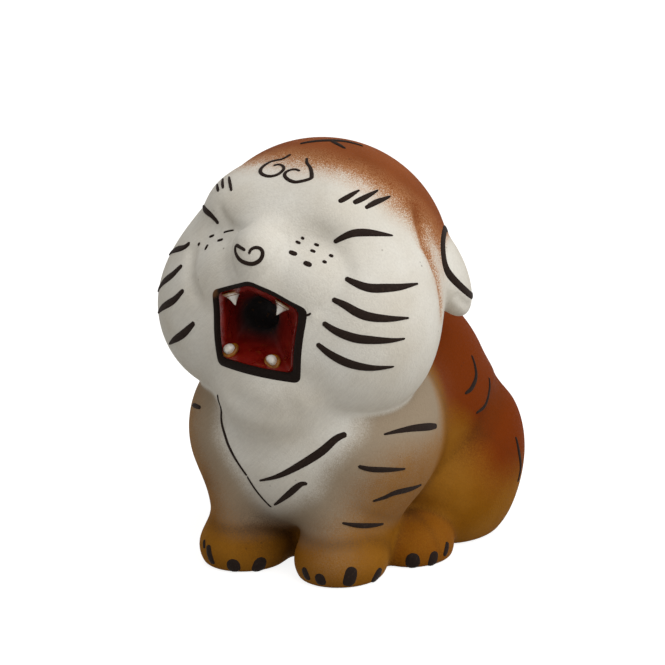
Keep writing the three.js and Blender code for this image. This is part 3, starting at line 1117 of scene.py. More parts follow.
@dataclass(frozen=True)
class RedGlaze:
    """Glossy dark red glaze."""

    red: str = "#690a03"
    bright: str = "#7c1206"
    # Near black of the painted shade deep in the mouth
    throat: str = "#0c0302"
    amber: str = "#96601c"
    pool_scale: float = 420.0
    pool_detail: float = 3.0
    pool: Span = (0.35, 0.65)
    fleck_scale: float = 1500.0
    flecked: Span = (0.62, 0.74)
    fleck: float = 0.25
    coat: float = 0.25
    coat_rough: float = 0.08
    throat_dull: float = 0.5
    wave_scale: float = 700.0
    wave_depth: float = 0.12
    rough: Span = (0.24, 0.38)


@dataclass(frozen=True)
class ToothWhite:
    """Glossy white of the fangs."""

    white: str = "#ddd9d0"
    warm: str = "#cfc6b6"
    stain: str = "#9a6a24"
    stain_broken: float = 0.3
    cloud_scale: float = 900.0
    coat: float = 0.7
    coat_rough: float = 0.06
    wave_scale: float = 1300.0
    wave_detail: float = 1.0
    wave_depth: float = 0.05
    rough: Span = (0.16, 0.28)


@dataclass(frozen=True)
class AmberGlaze:
    """Glossy amber setting glaze."""

    amber: str = "#9a5f08"
    dark: str = "#6a3c04"
    cloud_scale: float = 1100.0
    cloud_detail: float = 3.0
    cloud: Span = (0.35, 0.65)
    gloss: float = 0.25
    wave_scale: float = 1600.0
    wave_depth: float = 0.1
    rough: Span = (0.28, 0.4)


class Finishes:
    """Every material of the figure, made once."""

    def __init__(self) -> None:
        """Build the shared groups and the materials."""
        self.grain = ClayGrain().group()
        self.edge = SpeckledEdge().group()
        self.clay = self.painted_clay(PaintedClay())
        self.ink = self.brush_ink(BrushInk())
        self.lip = self.brush_ink(BrushInk(name="lip_ink", ink="#150d09", thin="#2a1f18"))
        self.bare = self.bare_clay(BareClay())
        self.red = self.red_glaze(RedGlaze())
        self.tooth = self.tooth_white(ToothWhite())
        self.amber = self.amber_glaze(AmberGlaze())

    def start(self, name: str) -> tuple[Material, Tree, Socket]:
        """Start a material.

        Args:
            name: Its name.

        Returns:
            The material, its tree and the place on the object.
        """
        material = bpy.data.materials.new(name)
        material.use_nodes = True
        tree = Tree(material.node_tree)
        return material, tree, tree.add("TexCoord").outputs["Object"]

    def grained(self, tree: Tree, place: Socket) -> bpy.types.bpy_prop_collection:
        """Add the shared grain and return its outputs."""
        return tree.add("Group", {"Vector": place}, node_tree=self.grain).outputs

    def speckle(self, tree: Tree, place: Socket, paint: str, broken: float) -> Socket:
        """Break the edge of a painted attribute into specks, as far as broken says, and return the mask."""
        inputs = {"Vector": place, "Mask": tree.paint(paint), "Break": broken}
        return tree.add("Group", inputs, node_tree=self.edge).outputs["Mask"]

    def close(self, tree: Tree, shader: dict[str, object], height: Socket, depth: float) -> None:
        """Add the shader, with a bump from a height, and the output.

        Args:
            tree: The material's tree.
            shader: The shader's inputs.
            height: The bump's height.
            depth: The bump's depth in millimetres.
        """
        bump = tree.add("Bump", {"Strength": 1.0, "Distance": depth * MM, "Height": height})
        principled = tree.add("BsdfPrincipled", {**shader, "Normal": bump.outputs["Normal"]})
        tree.add("OutputMaterial", {"Surface": principled.outputs["BSDF"]})

    def painted_clay(self, finish: PaintedClay) -> Material:
        """Build slip, sprayed oxide, ochre and painted shade in the creases over clay.

        Args:
            finish: Its colours and measures.

        Returns:
            The material.
        """
        material, tree, place = self.start("painted_clay")
        grain = self.grained(tree, place)
        blotch = tree.spread(grain["Blotch"], finish.blotch)
        coat = tree.mix(blotch, finish.ochre, finish.ochre_deep)
        slip = tree.mix(blotch, finish.slip, finish.slip_warm)
        for paint, over in (("rust", finish.rust), ("grey", finish.taupe), ("slip", slip)):
            coat = tree.mix(self.speckle(tree, place, paint, finish.brush), coat, over)
        spray = self.speckle(tree, place, "brown", finish.spray)
        coat = tree.mix(tree.spread(spray, finish.tan_rise), coat, finish.tan)
        head = tree.mix(blotch, finish.brown, finish.brown_deep)
        coat = tree.mix(tree.spread(spray, finish.brown_rise), coat, head)
        # Painted shade in creases, at the ankles, under the head and between the front paws, broken at its
        # edges and mixed towards the dark brown
        dark = self.speckle(tree, place, "painted_shade", finish.brush)
        coat = tree.mix(dark, coat, finish.crease)
        shade = tree.spread(tree.spread(grain["Hair"], MIDDLE), FULL, (0.0, finish.hair_shade))
        coat = tree.mix(shade, coat, tree.mix(finish.hair_dark, coat, finish.crease))
        speck = tree.math("MULTIPLY", grain["Speck"], finish.speck)
        coat = tree.mix(speck, coat, finish.crease)
        rough = tree.spread(grain["Tooth"], MIDDLE, finish.rough)
        height = tree.math("MULTIPLY", grain["Hair"], finish.hair_height)
        height = tree.math("ADD", height, grain["Tooth"])
        shader = {"Base Color": coat, "Roughness": rough, "Specular IOR Level": finish.gloss}
        self.close(tree, shader, height, finish.tooth_depth)
        return material

    def brush_ink(self, finish: BrushInk) -> Material:
        """Build dark brush ink that thins on the clay's tooth.

        Args:
            finish: Its colours and measures.

        Returns:
            The material.
        """
        material, tree, place = self.start(finish.name)
        grain = self.grained(tree, place)
        thin = tree.spread(grain["Hair"], finish.thin_hair, (0.0, finish.thinning))
        ink = tree.mix(thin, finish.ink, finish.thin)
        ink = tree.mix(tree.paint("bare"), ink, finish.bare)
        rough = tree.spread(grain["Tooth"], MIDDLE, finish.rough)
        shader = {"Base Color": ink, "Roughness": rough, "Specular IOR Level": finish.gloss}
        self.close(tree, shader, grain["Tooth"], finish.tooth_depth)
        return material

    def bare_clay(self, finish: BareClay) -> Material:
        """Build unpainted fired clay for the floor of the body.

        Args:
            finish: Its colours and measures.

        Returns:
            The material.
        """
        material, tree, place = self.start("bare_clay")
        grain = self.grained(tree, place)
        blotch = tree.spread(grain["Blotch"], MIDDLE)
        clay = tree.mix(blotch, finish.pale, finish.dark)
        clay = tree.mix(grain["Speck"], clay, finish.speck)
        rough = tree.spread(grain["Tooth"], MIDDLE, finish.rough)
        shader = {"Base Color": clay, "Roughness": rough}
        self.close(tree, shader, grain["Tooth"], finish.tooth_depth)
        return material

    def red_glaze(self, finish: RedGlaze) -> Material:
        """Build dark red glaze, darkened towards the throat by painted shade.

        Args:
            finish: Its colours and measures.

        Returns:
            The material.
        """
        material, tree, place = self.start("red_glaze")
        pool = tree.spread(tree.noise(place, finish.pool_scale, finish.pool_detail), finish.pool)
        red = tree.mix(pool, finish.red, finish.bright)
        # Painted shade: near black deep in the cup and in its closed throat, where it is also duller and
        # without coat
        red = tree.mix(tree.paint("throat"), red, finish.throat)
        fleck = tree.spread(tree.noise(place, finish.fleck_scale), finish.flecked, (0.0, finish.fleck))
        red = tree.mix(fleck, red, finish.amber)
        dull = tree.math("MULTIPLY", tree.paint("throat"), finish.throat_dull)
        rough = tree.math("ADD", tree.spread(pool, FULL, finish.rough), dull)
        coat = tree.spread(tree.paint("throat"), FULL, (finish.coat, 0.0))
        shader = {"Base Color": red, "Roughness": rough}
        shader.update({"Coat Weight": coat, "Coat Roughness": finish.coat_rough})
        self.close(tree, shader, tree.noise(place, finish.wave_scale), finish.wave_depth)
        return material

    def tooth_white(self, finish: ToothWhite) -> Material:
        """Build glossy white, stained amber towards the root.

        Args:
            finish: Its colours and measures.

        Returns:
            The material.
        """
        material, tree, place = self.start("tooth_white")
        cloud = tree.spread(tree.noise(place, finish.cloud_scale), MIDDLE)
        white = tree.mix(cloud, finish.white, finish.warm)
        stain = self.speckle(tree, place, "root", finish.stain_broken)
        white = tree.mix(stain, white, finish.stain)
        rough = tree.spread(cloud, FULL, finish.rough)
        shader = {"Base Color": white, "Roughness": rough}
        shader.update({"Coat Weight": finish.coat, "Coat Roughness": finish.coat_rough})
        self.close(tree, shader, tree.noise(place, finish.wave_scale, finish.wave_detail), finish.wave_depth)
        return material

    def amber_glaze(self, finish: AmberGlaze) -> Material:
        """Build the amber glaze that sets the fangs.

        Args:
            finish: Its colours and measures.

        Returns:
            The material.
        """
        material, tree, place = self.start("amber_glaze")
        cloud = tree.spread(tree.noise(place, finish.cloud_scale, finish.cloud_detail), finish.cloud)
        amber = tree.mix(cloud, finish.amber, finish.dark)
        rough = tree.spread(cloud, FULL, finish.rough)
        shader = {"Base Color": amber, "Roughness": rough, "Specular IOR Level": finish.gloss}
        self.close(tree, shader, tree.noise(place, finish.wave_scale), finish.wave_depth)
        return material


@dataclass
class Mouth:
    """A five-sided, hand-cut opening with a black lip line, a red cup, four fangs and their beads."""

    figure: Figure
    offset: float = 1.0
    drop: float = 7.0
    depth: float = 10.5
    corner_radius: float = 1.2
    taper: float = 0.56
    peak: Flat = (-0.7, 9.1)
    right_top: Flat = (-9.3, 6.0)
    right_floor: Flat = (-9.0, -7.5)
    left_floor: Flat = (7.15, -8.95)
    left_top: Flat = (9.05, 4.5)
    rim_widths: tuple[float, ...] = (0.8, 0.7, 1.35, 1.6, 0.9)
    bare_corner: float = 1.5
    bare_fade: float = 0.6
    cup_wall: float = 1.6
    throat_across: float = -4.7
    throat_up: float = 0.4
    throat_half_width: float = 3.4
    throat_half_height: float = 3.0
    throat_run: float = 5.0
    side_steps: int = 17
    corner_steps: int = 8
    lead: float = 60.0

    def __post_init__(self) -> None:
        """Find the middle of the mouth and the lip in front of it."""
        head = self.figure.middle
        self.middle = np.array([self.offset, head[1], head[2] - self.drop])
        self.lip_y = self.on_face(self.middle[None, (0, 2)])[0, 1]
        self.rim = np.array(self.rim_widths)

    def corners(self, margins: float | Array) -> Array:
        """Return the five corners, across and up from the middle, with each side moved out by its margin."""
        spots = np.array([self.peak, self.right_top, self.right_floor, self.left_floor, self.left_top])
        edges = np.roll(spots, -1, axis=0) - spots
        edges = edges / np.linalg.norm(edges, axis=1, keepdims=True)
        outward = np.stack([edges[:, 1], -edges[:, 0]], axis=1)
        moved = np.broadcast_to(np.asarray(margins, float), len(spots))
        normals = np.stack([np.roll(outward, 1, axis=0), outward], axis=1)
        reach = np.stack([np.roll(moved, 1), moved], axis=1)
        return spots + np.linalg.solve(normals, reach[:, :, None])[:, :, 0]

    def outline(self, margins: float | Array) -> Array:
        """Return the outline with rounded corners as places across and up.

        Args:
            margins: How far outside the opening the outline lies, or each of its sides.

        Returns:
            Places across and up from the middle, as many on each side whatever the margins.
        """
        corners = self.corners(margins)
        path = []
        for before, corner, after in zip(np.roll(corners, 1, axis=0), corners, np.roll(corners, -1, axis=0)):
            ahead = (after - corner) / np.linalg.norm(after - corner) * self.corner_radius
            start = corner + (before - corner) / np.linalg.norm(before - corner) * self.corner_radius
            end, far_end = corner + ahead, after - ahead
            for share in np.linspace(0.0, 1.0, self.corner_steps):
                path.append(start * (1 - share) ** 2 + 2 * corner * share * (1 - share) + end * share**2)
            for share in np.linspace(0.0, 1.0, self.side_steps + 1)[1:-1]:
                path.append(end + (far_end - end) * share)
        return np.array(path)

    def signed(self, points: Array) -> Array:
        """Measure how far points lie outside the opening, seen from the front, or inside it below 0."""
        return outside_of(self.outline(0.0), points[:, (0, 2)] - self.middle[[0, 2]])

    def on_face(self, across: Array) -> Array:
        """Find the places on the face in front of places given across and up in the figure's frame."""
        starts = np.stack([across[:, 0], np.full(len(across), -self.lead), across[:, 1]], axis=1)
        return self.figure.march(starts, np.tile([0.0, 1.0, 0.0], (len(across), 1)), self.lead)

    def within(self, corner: Array, depth: float | Array) -> Array:
        """Find places in the mouth, where the cup draws in to the throat.

        Args:
            corner: Places across and up from the middle.
            depth: Their depth behind the lips.

        Returns:
            Places in the figure's frame.
        """
        share = np.maximum(np.asarray(depth, float), 0.0) / self.depth
        draw = 1.0 + (self.taper - 1.0) * share
        x = self.middle[0] + corner[:, 0] * draw + self.throat_across * share
        z = self.middle[2] + corner[:, 1] * draw + self.throat_up * share
        y = np.broadcast_to(self.lip_y + np.asarray(depth, float), x.shape)
        return np.stack([x, y, z], axis=1)

    def lip_line(self, finishes: Finishes) -> Piece:
        """Roll the black lip from the face into the mouth.

        Args:
            finishes: The materials.

        Returns:
            The lip line, a closed ring.
        """
        rings = []
        middle = self.middle[[0, 2]]
        for share, raised, behind in LIP_SECTION:
            across = self.outline(-share * self.rim)
            spots = self.on_face(across + middle)
            normals = self.figure.normals(spots)
            rings.append(spots + normals * raised + np.array([0.0, behind, 0.0]))
        piece = wrapped_grid("lip_line", np.array(rings), closed_rings=True)
        corner = middle + np.array(self.right_top)
        gap = np.linalg.norm(places_of(piece)[:, (0, 2)] - corner, axis=1)
        paint_on(piece, "bare", ramp(gap, self.bare_corner, self.bare_fade * self.bare_corner))
        return dress(piece, finishes.lip)

    def cup(self, finishes: Finishes) -> Piece:
        """Model the red cup and the run of the throat behind it, which painted shade darkens.

        Args:
            finishes: The materials.

        Returns:
            The cup, with a wall.
        """
        rim = self.outline(CUP.overlap - self.rim)
        outline = self.outline(CUP.overlap - self.cup_wall)
        rings = []
        bearing = np.arctan2(outline[:, 1], outline[:, 0])
        ellipse = np.stack([np.cos(bearing), np.sin(bearing)], axis=1)
        ellipse = ellipse * (self.throat_half_width, self.throat_half_height)
        centre = self.within(np.zeros((1, 2)), self.depth)[0]
        front = self.on_face(rim + self.middle[[0, 2]])
        for share in np.linspace(0.0, 1.0, CUP.rings):
            depth = CUP.start + (self.depth - CUP.start) * share
            inner = ramp(np.array(depth), CUP.start, CUP.wall_depth)
            wall = self.within(rim + (outline - rim) * inner, depth)
            lead = (front[:, 1] - self.lip_y) * (1.0 - share)
            wall = wall + np.stack([np.zeros_like(lead), lead, np.zeros_like(lead)], axis=1)
            round_wall = np.stack([centre[0] + ellipse[:, 0], wall[:, 1], centre[2] + ellipse[:, 1]], axis=1)
            rings.append(wall + (round_wall - wall) * share**CUP.rounding)
        for share in np.linspace(0.0, 1.0, CUP.throat_rings)[1:]:
            scale = math.sqrt(max(1.0 - share**2, 0.0))
            spots = np.stack([
                centre[0] + ellipse[:, 0] * scale,
                np.full(len(ellipse), centre[1] + self.throat_run * share),
                centre[2] + ellipse[:, 1] * scale,
            ], axis=1)
            rings.append(spots)
        piece = wrapped_grid("mouth_lining", np.array(rings))
        places = places_of(piece)
        # Painted shade: darker with depth behind the lips, starting later on the roof
        roof = np.maximum(places[:, 2] - self.middle[2], 0.0)
        behind = places[:, 1] - self.lip_y - CUP.red_roof * roof
        paint_on(piece, "throat", ramp(behind, CUP.painted_shade_front, CUP.painted_shade_back))
        apply_modifier(piece, "SOLIDIFY", thickness=CUP.wall * MM, offset=1.0)
        return dress(piece, finishes.red)

    def wall(self, start: Array, end: Array, share: float, depth: float) -> tuple[Array, Array]:
        """Find a place on the cup's wall and the wall's inward direction.

        Args:
            start: The corner it is measured from.
            end: The corner it is measured to.
            share: How far along it lies.
            depth: How far behind the lips it lies.

        Returns:
            The place and the direction.
        """
        ends = np.stack([start, end])
        here, back = self.within(ends, depth), self.within(ends, self.depth)
        spot = here[0] + (here[1] - here[0]) * share
        deeper = back[0] + (back[1] - back[0]) * share - spot
        normal = np.cross(here[1] - here[0], deeper)
        return spot, normal / np.linalg.norm(normal)

    def fangs(self, finishes: Finishes) -> list[tuple[Piece, Piece, str]]:
        """Model the four fangs and their beads.

        Args:
            finishes: The materials.

        Returns:
            Each fang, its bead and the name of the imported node.
        """
        corners = dict(zip(MOUTH_CORNERS, self.corners(-self.cup_wall)))
        made = []
        for name, seat in FANG_SEATS.items():
            shape = seat.kind.value
            spot, normal = self.wall(corners[seat.start], corners[seat.end], seat.share, seat.depth)
            axis = normal + np.array([0.0, -shape.forward, 0.0])
            axis = axis / np.linalg.norm(axis)
            fang = shape.peg(name.replace("fang", "tooth"), spot, axis, finishes.tooth)
            bead = shape.bead(name.replace("fang", "setting"), spot, axis, finishes.amber)
            made.append((fang, bead, name))
        return made


# Corners of the opening in their order round it
MOUTH_CORNERS = ("peak", "right_top", "right_floor", "left_floor", "left_top")
# Lip line's section: the share of its width, how far off the face and how far behind it each ring lies
LIP_SECTION = (
    (-0.2, -0.30, 0.0),
    (-0.08, 0.02, 0.0),
    (0.1, 0.13, 0.0),
    (0.4, 0.18, 0.0),
    (0.68, 0.12, 0.05),
    (0.88, 0.0, 0.3),
    (0.98, 0.0, 0.85),
    (1.02, 0.0, 1.6),
    (0.6, 0.0, 1.5),
    (0.1, -0.2, 0.9),
)


@dataclass(frozen=True)
class CupSection:
    """How the cup runs from the lips to the throat."""

    start: float = 0.7
    overlap: float = 0.12
    rings: int = 22
    rounding: float = 2.2
    throat_rings: int = 7
    wall: float = 0.5
    wall_depth: float = 2.0
    # Depths over which painted shade darkens the cup, and how much later it starts on the roof
    painted_shade_front: float = 5.0
    painted_shade_back: float = 10.5
    red_roof: float = 0.35


CUP = CupSection()


@dataclass(frozen=True)
class FangShape:
    """A fang's outline on its own axis, with the bead round its root."""

    root_radius: float
    tip_radius: float
    length: float
    flare: float
    forward: float
    bead_width: float
    bead_height: float
    stained: float
    sides: int = 32
    steps: int = 18
    sunk: float = 0.5
    waver: float = 0.1
    cap_start: float = 0.6
    bead_inner: float = 0.7
    bead_lift: float = 0.1

    def turned(self, profile: Sequence[Flat], spot: Array, axis: Array) -> Array:
        """Turn a profile of radius and height round an axis.

        Args:
            profile: Radius and height of each ring.
            spot: The place of the root.
            axis: The axis from the root.

        Returns:
            The rings.
        """
        side = np.cross(axis, (0.0, 1.0, 0.0))
        side = side / np.linalg.norm(side)
        other = np.cross(axis, side)
        angles = np.linspace(0.0, 2 * math.pi, self.sides, endpoint=False)
        round_about = np.cos(angles)[:, None] * side + np.sin(angles)[:, None] * other
        swell = 1.0 + self.waver * np.sin(2 * angles + spot[0]) + 0.5 * self.waver * np.cos(3 * angles)
        swell = swell[:, None]
        return np.array([spot + axis * height + round_about * radius * swell for radius, height in profile])

    def peg(self, name: str, spot: Array, axis: Array, material: Material) -> Piece:
        """Model the fang.

        Args:
            name: The name of the object.
            spot: The place of its root.
            axis: The axis from the root.
            material: Its material.

        Returns:
            The fang.
        """
        profile = [(TINY, -self.sunk)]
        for share in np.linspace(0.0, 1.0, self.steps):
            radius = self.root_radius + (self.tip_radius - self.root_radius) * share
            radius += self.flare * (1.0 - share) ** 3
            past = max((share - self.cap_start) / (1.0 - self.cap_start), 0.0)
            cap = max(math.sqrt(max(1.0 - past**2, 0.0)), TINY)
            profile.append((radius * cap, -self.sunk + (self.length + self.sunk) * share))
        piece = wrapped_grid(name, self.turned(profile, spot, axis))
        height = (places_of(piece) - spot) @ axis
        paint_on(piece, "root", ramp(height, self.stained, self.stained - self.sunk))
        return dress(piece, material)

    def bead(self, name: str, spot: Array, axis: Array, material: Material) -> Piece:
        """Model the bead of glaze round the fang's root, with what peg takes."""
        inner = self.root_radius * self.bead_inner
        outer = self.root_radius + self.bead_width
        profile = []
        for angle in np.linspace(0.0, 2 * math.pi, self.steps, endpoint=False):
            radius = (inner + outer) / 2 + (outer - inner) / 2 * math.cos(angle)
            profile.append((radius, self.bead_height * (0.5 * math.sin(angle) + self.bead_lift)))
        return dress(wrapped_grid(name, self.turned(profile, spot, axis), closed_rings=True), material)


class Fang(Enum):
    """The two kinds of fang."""

    UPPER = FangShape(1.0, 0.2, 1.85, 0.95, forward=0.0, bead_width=0.32, bead_height=0.2, stained=0.0)
    LOWER = FangShape(0.98, 0.9, 1.6, 0.0, forward=0.8, bead_width=0.5, bead_height=0.7, stained=0.55)


@dataclass(frozen=True)
class FangSeat:
    """Where a fang is set: the corners it stands between, its share of the way and its depth."""

    kind: Fang
    start: str
    end: str
    share: float
    depth: float


FANG_SEATS = {
    "upper_left_fang": FangSeat(Fang.UPPER, "left_top", "peak", 0.27, 2.4),
    "upper_right_fang": FangSeat(Fang.UPPER, "peak", "right_top", 0.73, 2.4),
    "lower_left_fang": FangSeat(Fang.LOWER, "right_floor", "left_floor", 0.79, 2.8),
    "lower_right_fang": FangSeat(Fang.LOWER, "right_floor", "left_floor", 0.045, 3.1),
}


@dataclass(frozen=True)
class Bib:
    """The white bib's edges across and up: the drawn one on the cub's right, the brushed one on its left."""

    right_edge: tuple[Flat, ...] = ((-9.0, 60.0), (-9.2, 25.5), (-4.7, 18.8), (-1.2, 12.8))
    left_edge: tuple[Flat, ...] = ((-1.2, 12.8), (7.4, 18.6), (9.6, 23.2), (14.2, 28.7), (16.0, 60.0))

    def outside(self, points: Array) -> Array:
        """Measure how far points lie outside the bib, seen from the front, or inside it below 0."""
        return outside_of(np.array(self.right_edge + self.left_edge[1:]), points[:, (0, 2)])


BIB = Bib()


@dataclass(frozen=True)
class Coats:
    """Where each paint lies: a span gives where it starts and where it is full."""

    neck: Span = (-0.8, 0.8)
    brown_slant: float = 0.75
    brown: Span = (-0.13, 0.62)
    haze: float = 0.3
    haze_spread: float = 0.2
    ear: Span = (0.8, -0.8)
    bib: Span = (4.6, -1.0)
    bib_front: Span = (-8.0, -18.0)
    bib_foot: Span = (5.0, 12.0)
    leg: Span = (-3.0, -9.0)
    grey: Span = (14.5, 3.0)
    grey_foot: Span = (5.0, 10.0)
    leg_grey: float = 0.22
    leg_foot: Span = (7.0, 11.0)
    shoulder: Spot = (20.0, -15.0, 33.0)
    shoulder_radius: float = 8.0
    toe: Spot = (13.0, -31.0, 7.0)
    toe_radius: float = 5.0
    toe_grey: float = 0.2
    rust_top: Span = (22.0, 31.0)
    rust_back: Span = (-1.5, 10.0)
    rust_foot: Span = (5.5, 17.0)
    rust_front: Span = (-5.0, -1.0)
    hind_rust: float = 0.3
    hind_edge: Span = (-0.6, 0.6)
    # Painted shade at the ankles, in the valleys, under the head and between the front paws: widths, spans,
    # spots and strengths
    ankle: float = 1.2
    ankle_painted_shade: float = 0.33
    valley: Span = (0.25, 1.4)
    valley_grey: Span = (0.8, 0.2)
    valley_painted_shade: float = 0.25
    under_head: Span = (-20.0, -12.0)
    under_head_painted_shadow: float = 0.25
    leg_gap: Spot = (-3.0, -26.0, 8.0)
    leg_gap_radius: float = 6.0
    leg_gap_painted_shade: float = 0.5


COATS = Coats()


@dataclass
class Skin:
    """The painted clay skin, sculpted whole and parted along the luted seams."""

    figure: Figure
    mouth: Mouth
    voxel: float = 0.42
    ball_rounds: int = 3
    relax_rounds: int = 3
    relax_share: float = 0.6
    wall: float = 1.6

    def fused(self, pile: Piece) -> Clay:
        """Fuse an object into even clay and take it out of the scene.

        Args:
            pile: The object.

        Returns:
            The fused mesh.
        """
        apply_modifier(pile, "REMESH", mode="VOXEL", voxel_size=self.voxel * MM)
        mesh = pile.data
        mesh.calc_loop_triangles()
        corners = np.empty(len(mesh.loop_triangles) * 3, np.int32)
        mesh.loop_triangles.foreach_get("vertices", corners)
        clay = Clay(places_of(pile), corners.reshape(-1, 3))
        bpy.data.objects.remove(pile)
        bpy.data.meshes.remove(mesh)
        return clay

    def rough(self) -> Clay:
        """Pile up balls of clay and fuse them.

        Returns:
            The fused rough mesh.
        """
        balls = []
        for form in self.figure.forms.values():
            for lump in form.lumps:
                if lump.hollow:
                    continue
                bpy.ops.object.select_all(action="DESELECT")
                bpy.ops.mesh.primitive_ico_sphere_add(subdivisions=self.ball_rounds, radius=1.0)
                ball = bpy.context.active_object
                ball.data.vertices.foreach_set("co", (lump.out(places_of(ball) * MM) * MM).ravel())
                balls.append(ball)
        return self.fused(join_all(balls, "rough_clay"))

    def sculpt(self) -> Clay:
        """Press the rough clay onto the figure's surface.

        Returns:
            The pressed and evened mesh.
        """
        clay = self.rough()
        clay.points = self.figure.press(clay.points, rounds=3)
        clay = self.fused(clay.to_object("pressed_clay"))
        clay.points = self.figure.press(clay.points, rounds=2)
        for _ in range(self.relax_rounds):
            clay.points = clay.relaxed(self.relax_share)
            clay.points = self.figure.press(clay.points, rounds=1)
        return clay

    def coat(self, clay: Clay) -> None:
        """Paint slip, oxide and ochre onto the clay's points, with painted shade in creases, at the ankles,
        under the head and between the front paws.

        Args:
            clay: The mesh to paint.
        """
        points = clay.points
        parts = self.figure.parts(points)
        head = parts["head"]
        for side in SIDES:
            head = np.minimum(head, parts[f"{side}_ear"])
        paws = {kind: np.minimum(*(parts[f"{side}_{kind}"] for side in SIDES)) for kind in PAWS}
        paw = np.minimum(*paws.values())
        body = np.minimum(np.minimum(parts["body"], parts["tail"]), paw)
        on_head = ramp(body - head, *COATS.neck)
        bearing = points - self.figure.middle
        bearing = bearing / (np.linalg.norm(bearing, axis=1, keepdims=True) + TINY)
        brown = ramp(bearing[:, 1] + COATS.brown_slant * bearing[:, 2], *COATS.brown)
        # Tint along the creases: sprayed oxide settled in them on the head, painted shade in the flank
        # valley on the body
        spray_and_shade = np.zeros(len(points))
        for crease, route, _ in self.figure.creases:
            spray_and_shade = spray_and_shade + crease.tint * crease.strength(points, route)
        brown = brown + spray_and_shade + COATS.haze * spray_and_shade**COATS.haze_spread
        ear = np.minimum(*(parts[f"{side}_ear"] for side in SIDES))
        brown = brown * ramp(parts["head"] - ear, *COATS.ear)
        x, y, z = points.T
        mirrored = np.stack([np.abs(x), y, z], axis=1)
        outside = BIB.outside(points)
        bib = ramp(outside, *COATS.bib) * ramp(y, *COATS.bib_front) * ramp(z, *COATS.bib_foot)
        leg = ramp(y, *COATS.leg)
        grey = ramp(outside, *COATS.grey) * ramp(z, *COATS.grey_foot) * leg
        grey = np.maximum(grey, COATS.leg_grey * leg * ramp(z, *COATS.leg_foot))
        grey = grey + spotted(mirrored, COATS.shoulder, COATS.shoulder_radius)
        grey = grey + COATS.toe_grey * spotted(points, COATS.toe, COATS.toe_radius)
        rust = ramp(z, *COATS.rust_top) + ramp(y, *COATS.rust_back) * ramp(z, *COATS.rust_foot)
        hind_rust = COATS.hind_rust * ramp(parts["body"] - paws["hind_paw"], *COATS.hind_edge)
        rust = np.maximum(rust * ramp(y, *COATS.rust_front), hind_rust)
        # Painted shade: darker at the ankles, in the valleys between lumps, under the head, between the
        # front paws and along the flank valley
        ankle = np.exp(-(((parts["body"] - paw) / COATS.ankle) ** 2))
        valley = ramp(self.figure.body.valley(points), *COATS.valley) * ramp(grey, *COATS.valley_grey)
        under_head = np.exp(-((parts["head"] - body) ** 2)) * ramp(y, *COATS.under_head)
        gap = spotted(points, COATS.leg_gap, COATS.leg_gap_radius)
        painted_shade = COATS.ankle_painted_shade * ankle + COATS.valley_painted_shade * valley
        painted_shade = painted_shade + COATS.under_head_painted_shadow * under_head + COATS.leg_gap_painted_shade * gap + spray_and_shade
        clay.paint = {
            "slip": np.clip(on_head + (1.0 - on_head) * bib, 0.0, 1.0),
            "grey": np.clip(on_head + (1.0 - on_head) * grey, 0.0, 1.0),
            "brown": on_head * np.clip(brown, 0.0, 1.0),
            "rust": (1.0 - on_head) * np.clip(rust, 0.0, 1.0),
            "painted_shade": (1.0 - on_head) * np.clip(painted_shade, 0.0, 1.0),
        }

    def parted(self, clay: Clay) -> dict[str, Clay]:
        """Part the skin along the seams where the pieces are luted together.

        Args:
            clay: The painted mesh.

        Returns:
            The mesh of each piece.
        """
        figure, shape = self.figure, self.figure.body_shape
        made = {}
        front = clay.points[:, 1] < figure.head_shape.middle_y
        opening = np.where(front, self.mouth.signed(clay.points), FAR_AWAY)
        clay = clay.cut(opening)[1]
        x, y, z = clay.points.T
        floor = np.hypot(x / shape.base_half_width, (y - shape.base_y) / shape.base_half_depth) - 1.0
        clay = clay.cut(np.where(z < shape.base_edge, floor * shape.base_half_width, FAR_AWAY))[1]
        borders = []
        for side in SIDES:
            borders.append((f"{side}_ear", "head"))
            borders.extend((f"{side}_{paw}", "body") for paw in PAWS)
        borders.append(("tail", "body"))
        for name, carrier in borders:
            parts = figure.parts(clay.points)
            made[f"{name}_skin"], clay = clay.cut(parts[name] - parts[carrier])
        parts = figure.parts(clay.points)
        head, body = clay.cut(parts["head"] - parts["body"])
        seam = figure.middle[1] - figure.head_shape.seam_forward
        made["face_skin"], made["skull_skin"] = head.cut(head.points[:, 1] - seam)
        made["chest_skin"], made["back_skin"] = body.cut(body.points[:, 1] - shape.seam_y)
        return made

    def build(self, finishes: Finishes) -> dict[str, Piece]:
        """Sculpt, paint and part the skin.

        Args:
            finishes: The materials.

        Returns:
            The pieces by name.
        """
        clay = self.sculpt()
        self.coat(clay)
        pieces = {}
        for name, part in self.parted(clay).items():
            piece = part.to_object(name)
            apply_modifier(piece, "SOLIDIFY", thickness=self.wall * MM, offset=-1.0)
            pieces[name] = dress(piece, finishes.clay)
        return pieces


@dataclass(frozen=True)
class Stroke:
    """One brush stroke: its route over the photograph, its width in millimetres and how it swells."""

    route: tuple[Pixel, ...]
    width: float
    start: float = 0.5
    finish: float = 0.15
    fullest: float = 0.4
    run_on: float = 0.0
    twin: bool = False


def claw(top: Pixel, bottom: Pixel, width: float, twin: bool = False) -> Stroke:
    """Return a painted claw from its top to its bottom."""
    return Stroke((top, bottom), width, start=0.75, finish=0.85, fullest=0.55, twin=twin)


def dot(start: Pixel, end: Pixel, width: float) -> Stroke:
    """Return a whisker dot."""
    return Stroke((start, end), width, start=0.6, finish=0.6, fullest=0.5)


def lash(*route: Pixel) -> Stroke:
    """Return a fine hair of the far brow."""
    return Stroke(route, 0.5, start=0.6, finish=0.3)


def near_stripe(*route: Pixel) -> Stroke:
    """Return a broad stripe of the near cheek."""
    return Stroke(route, 1.6, start=0.45, finish=0.08)


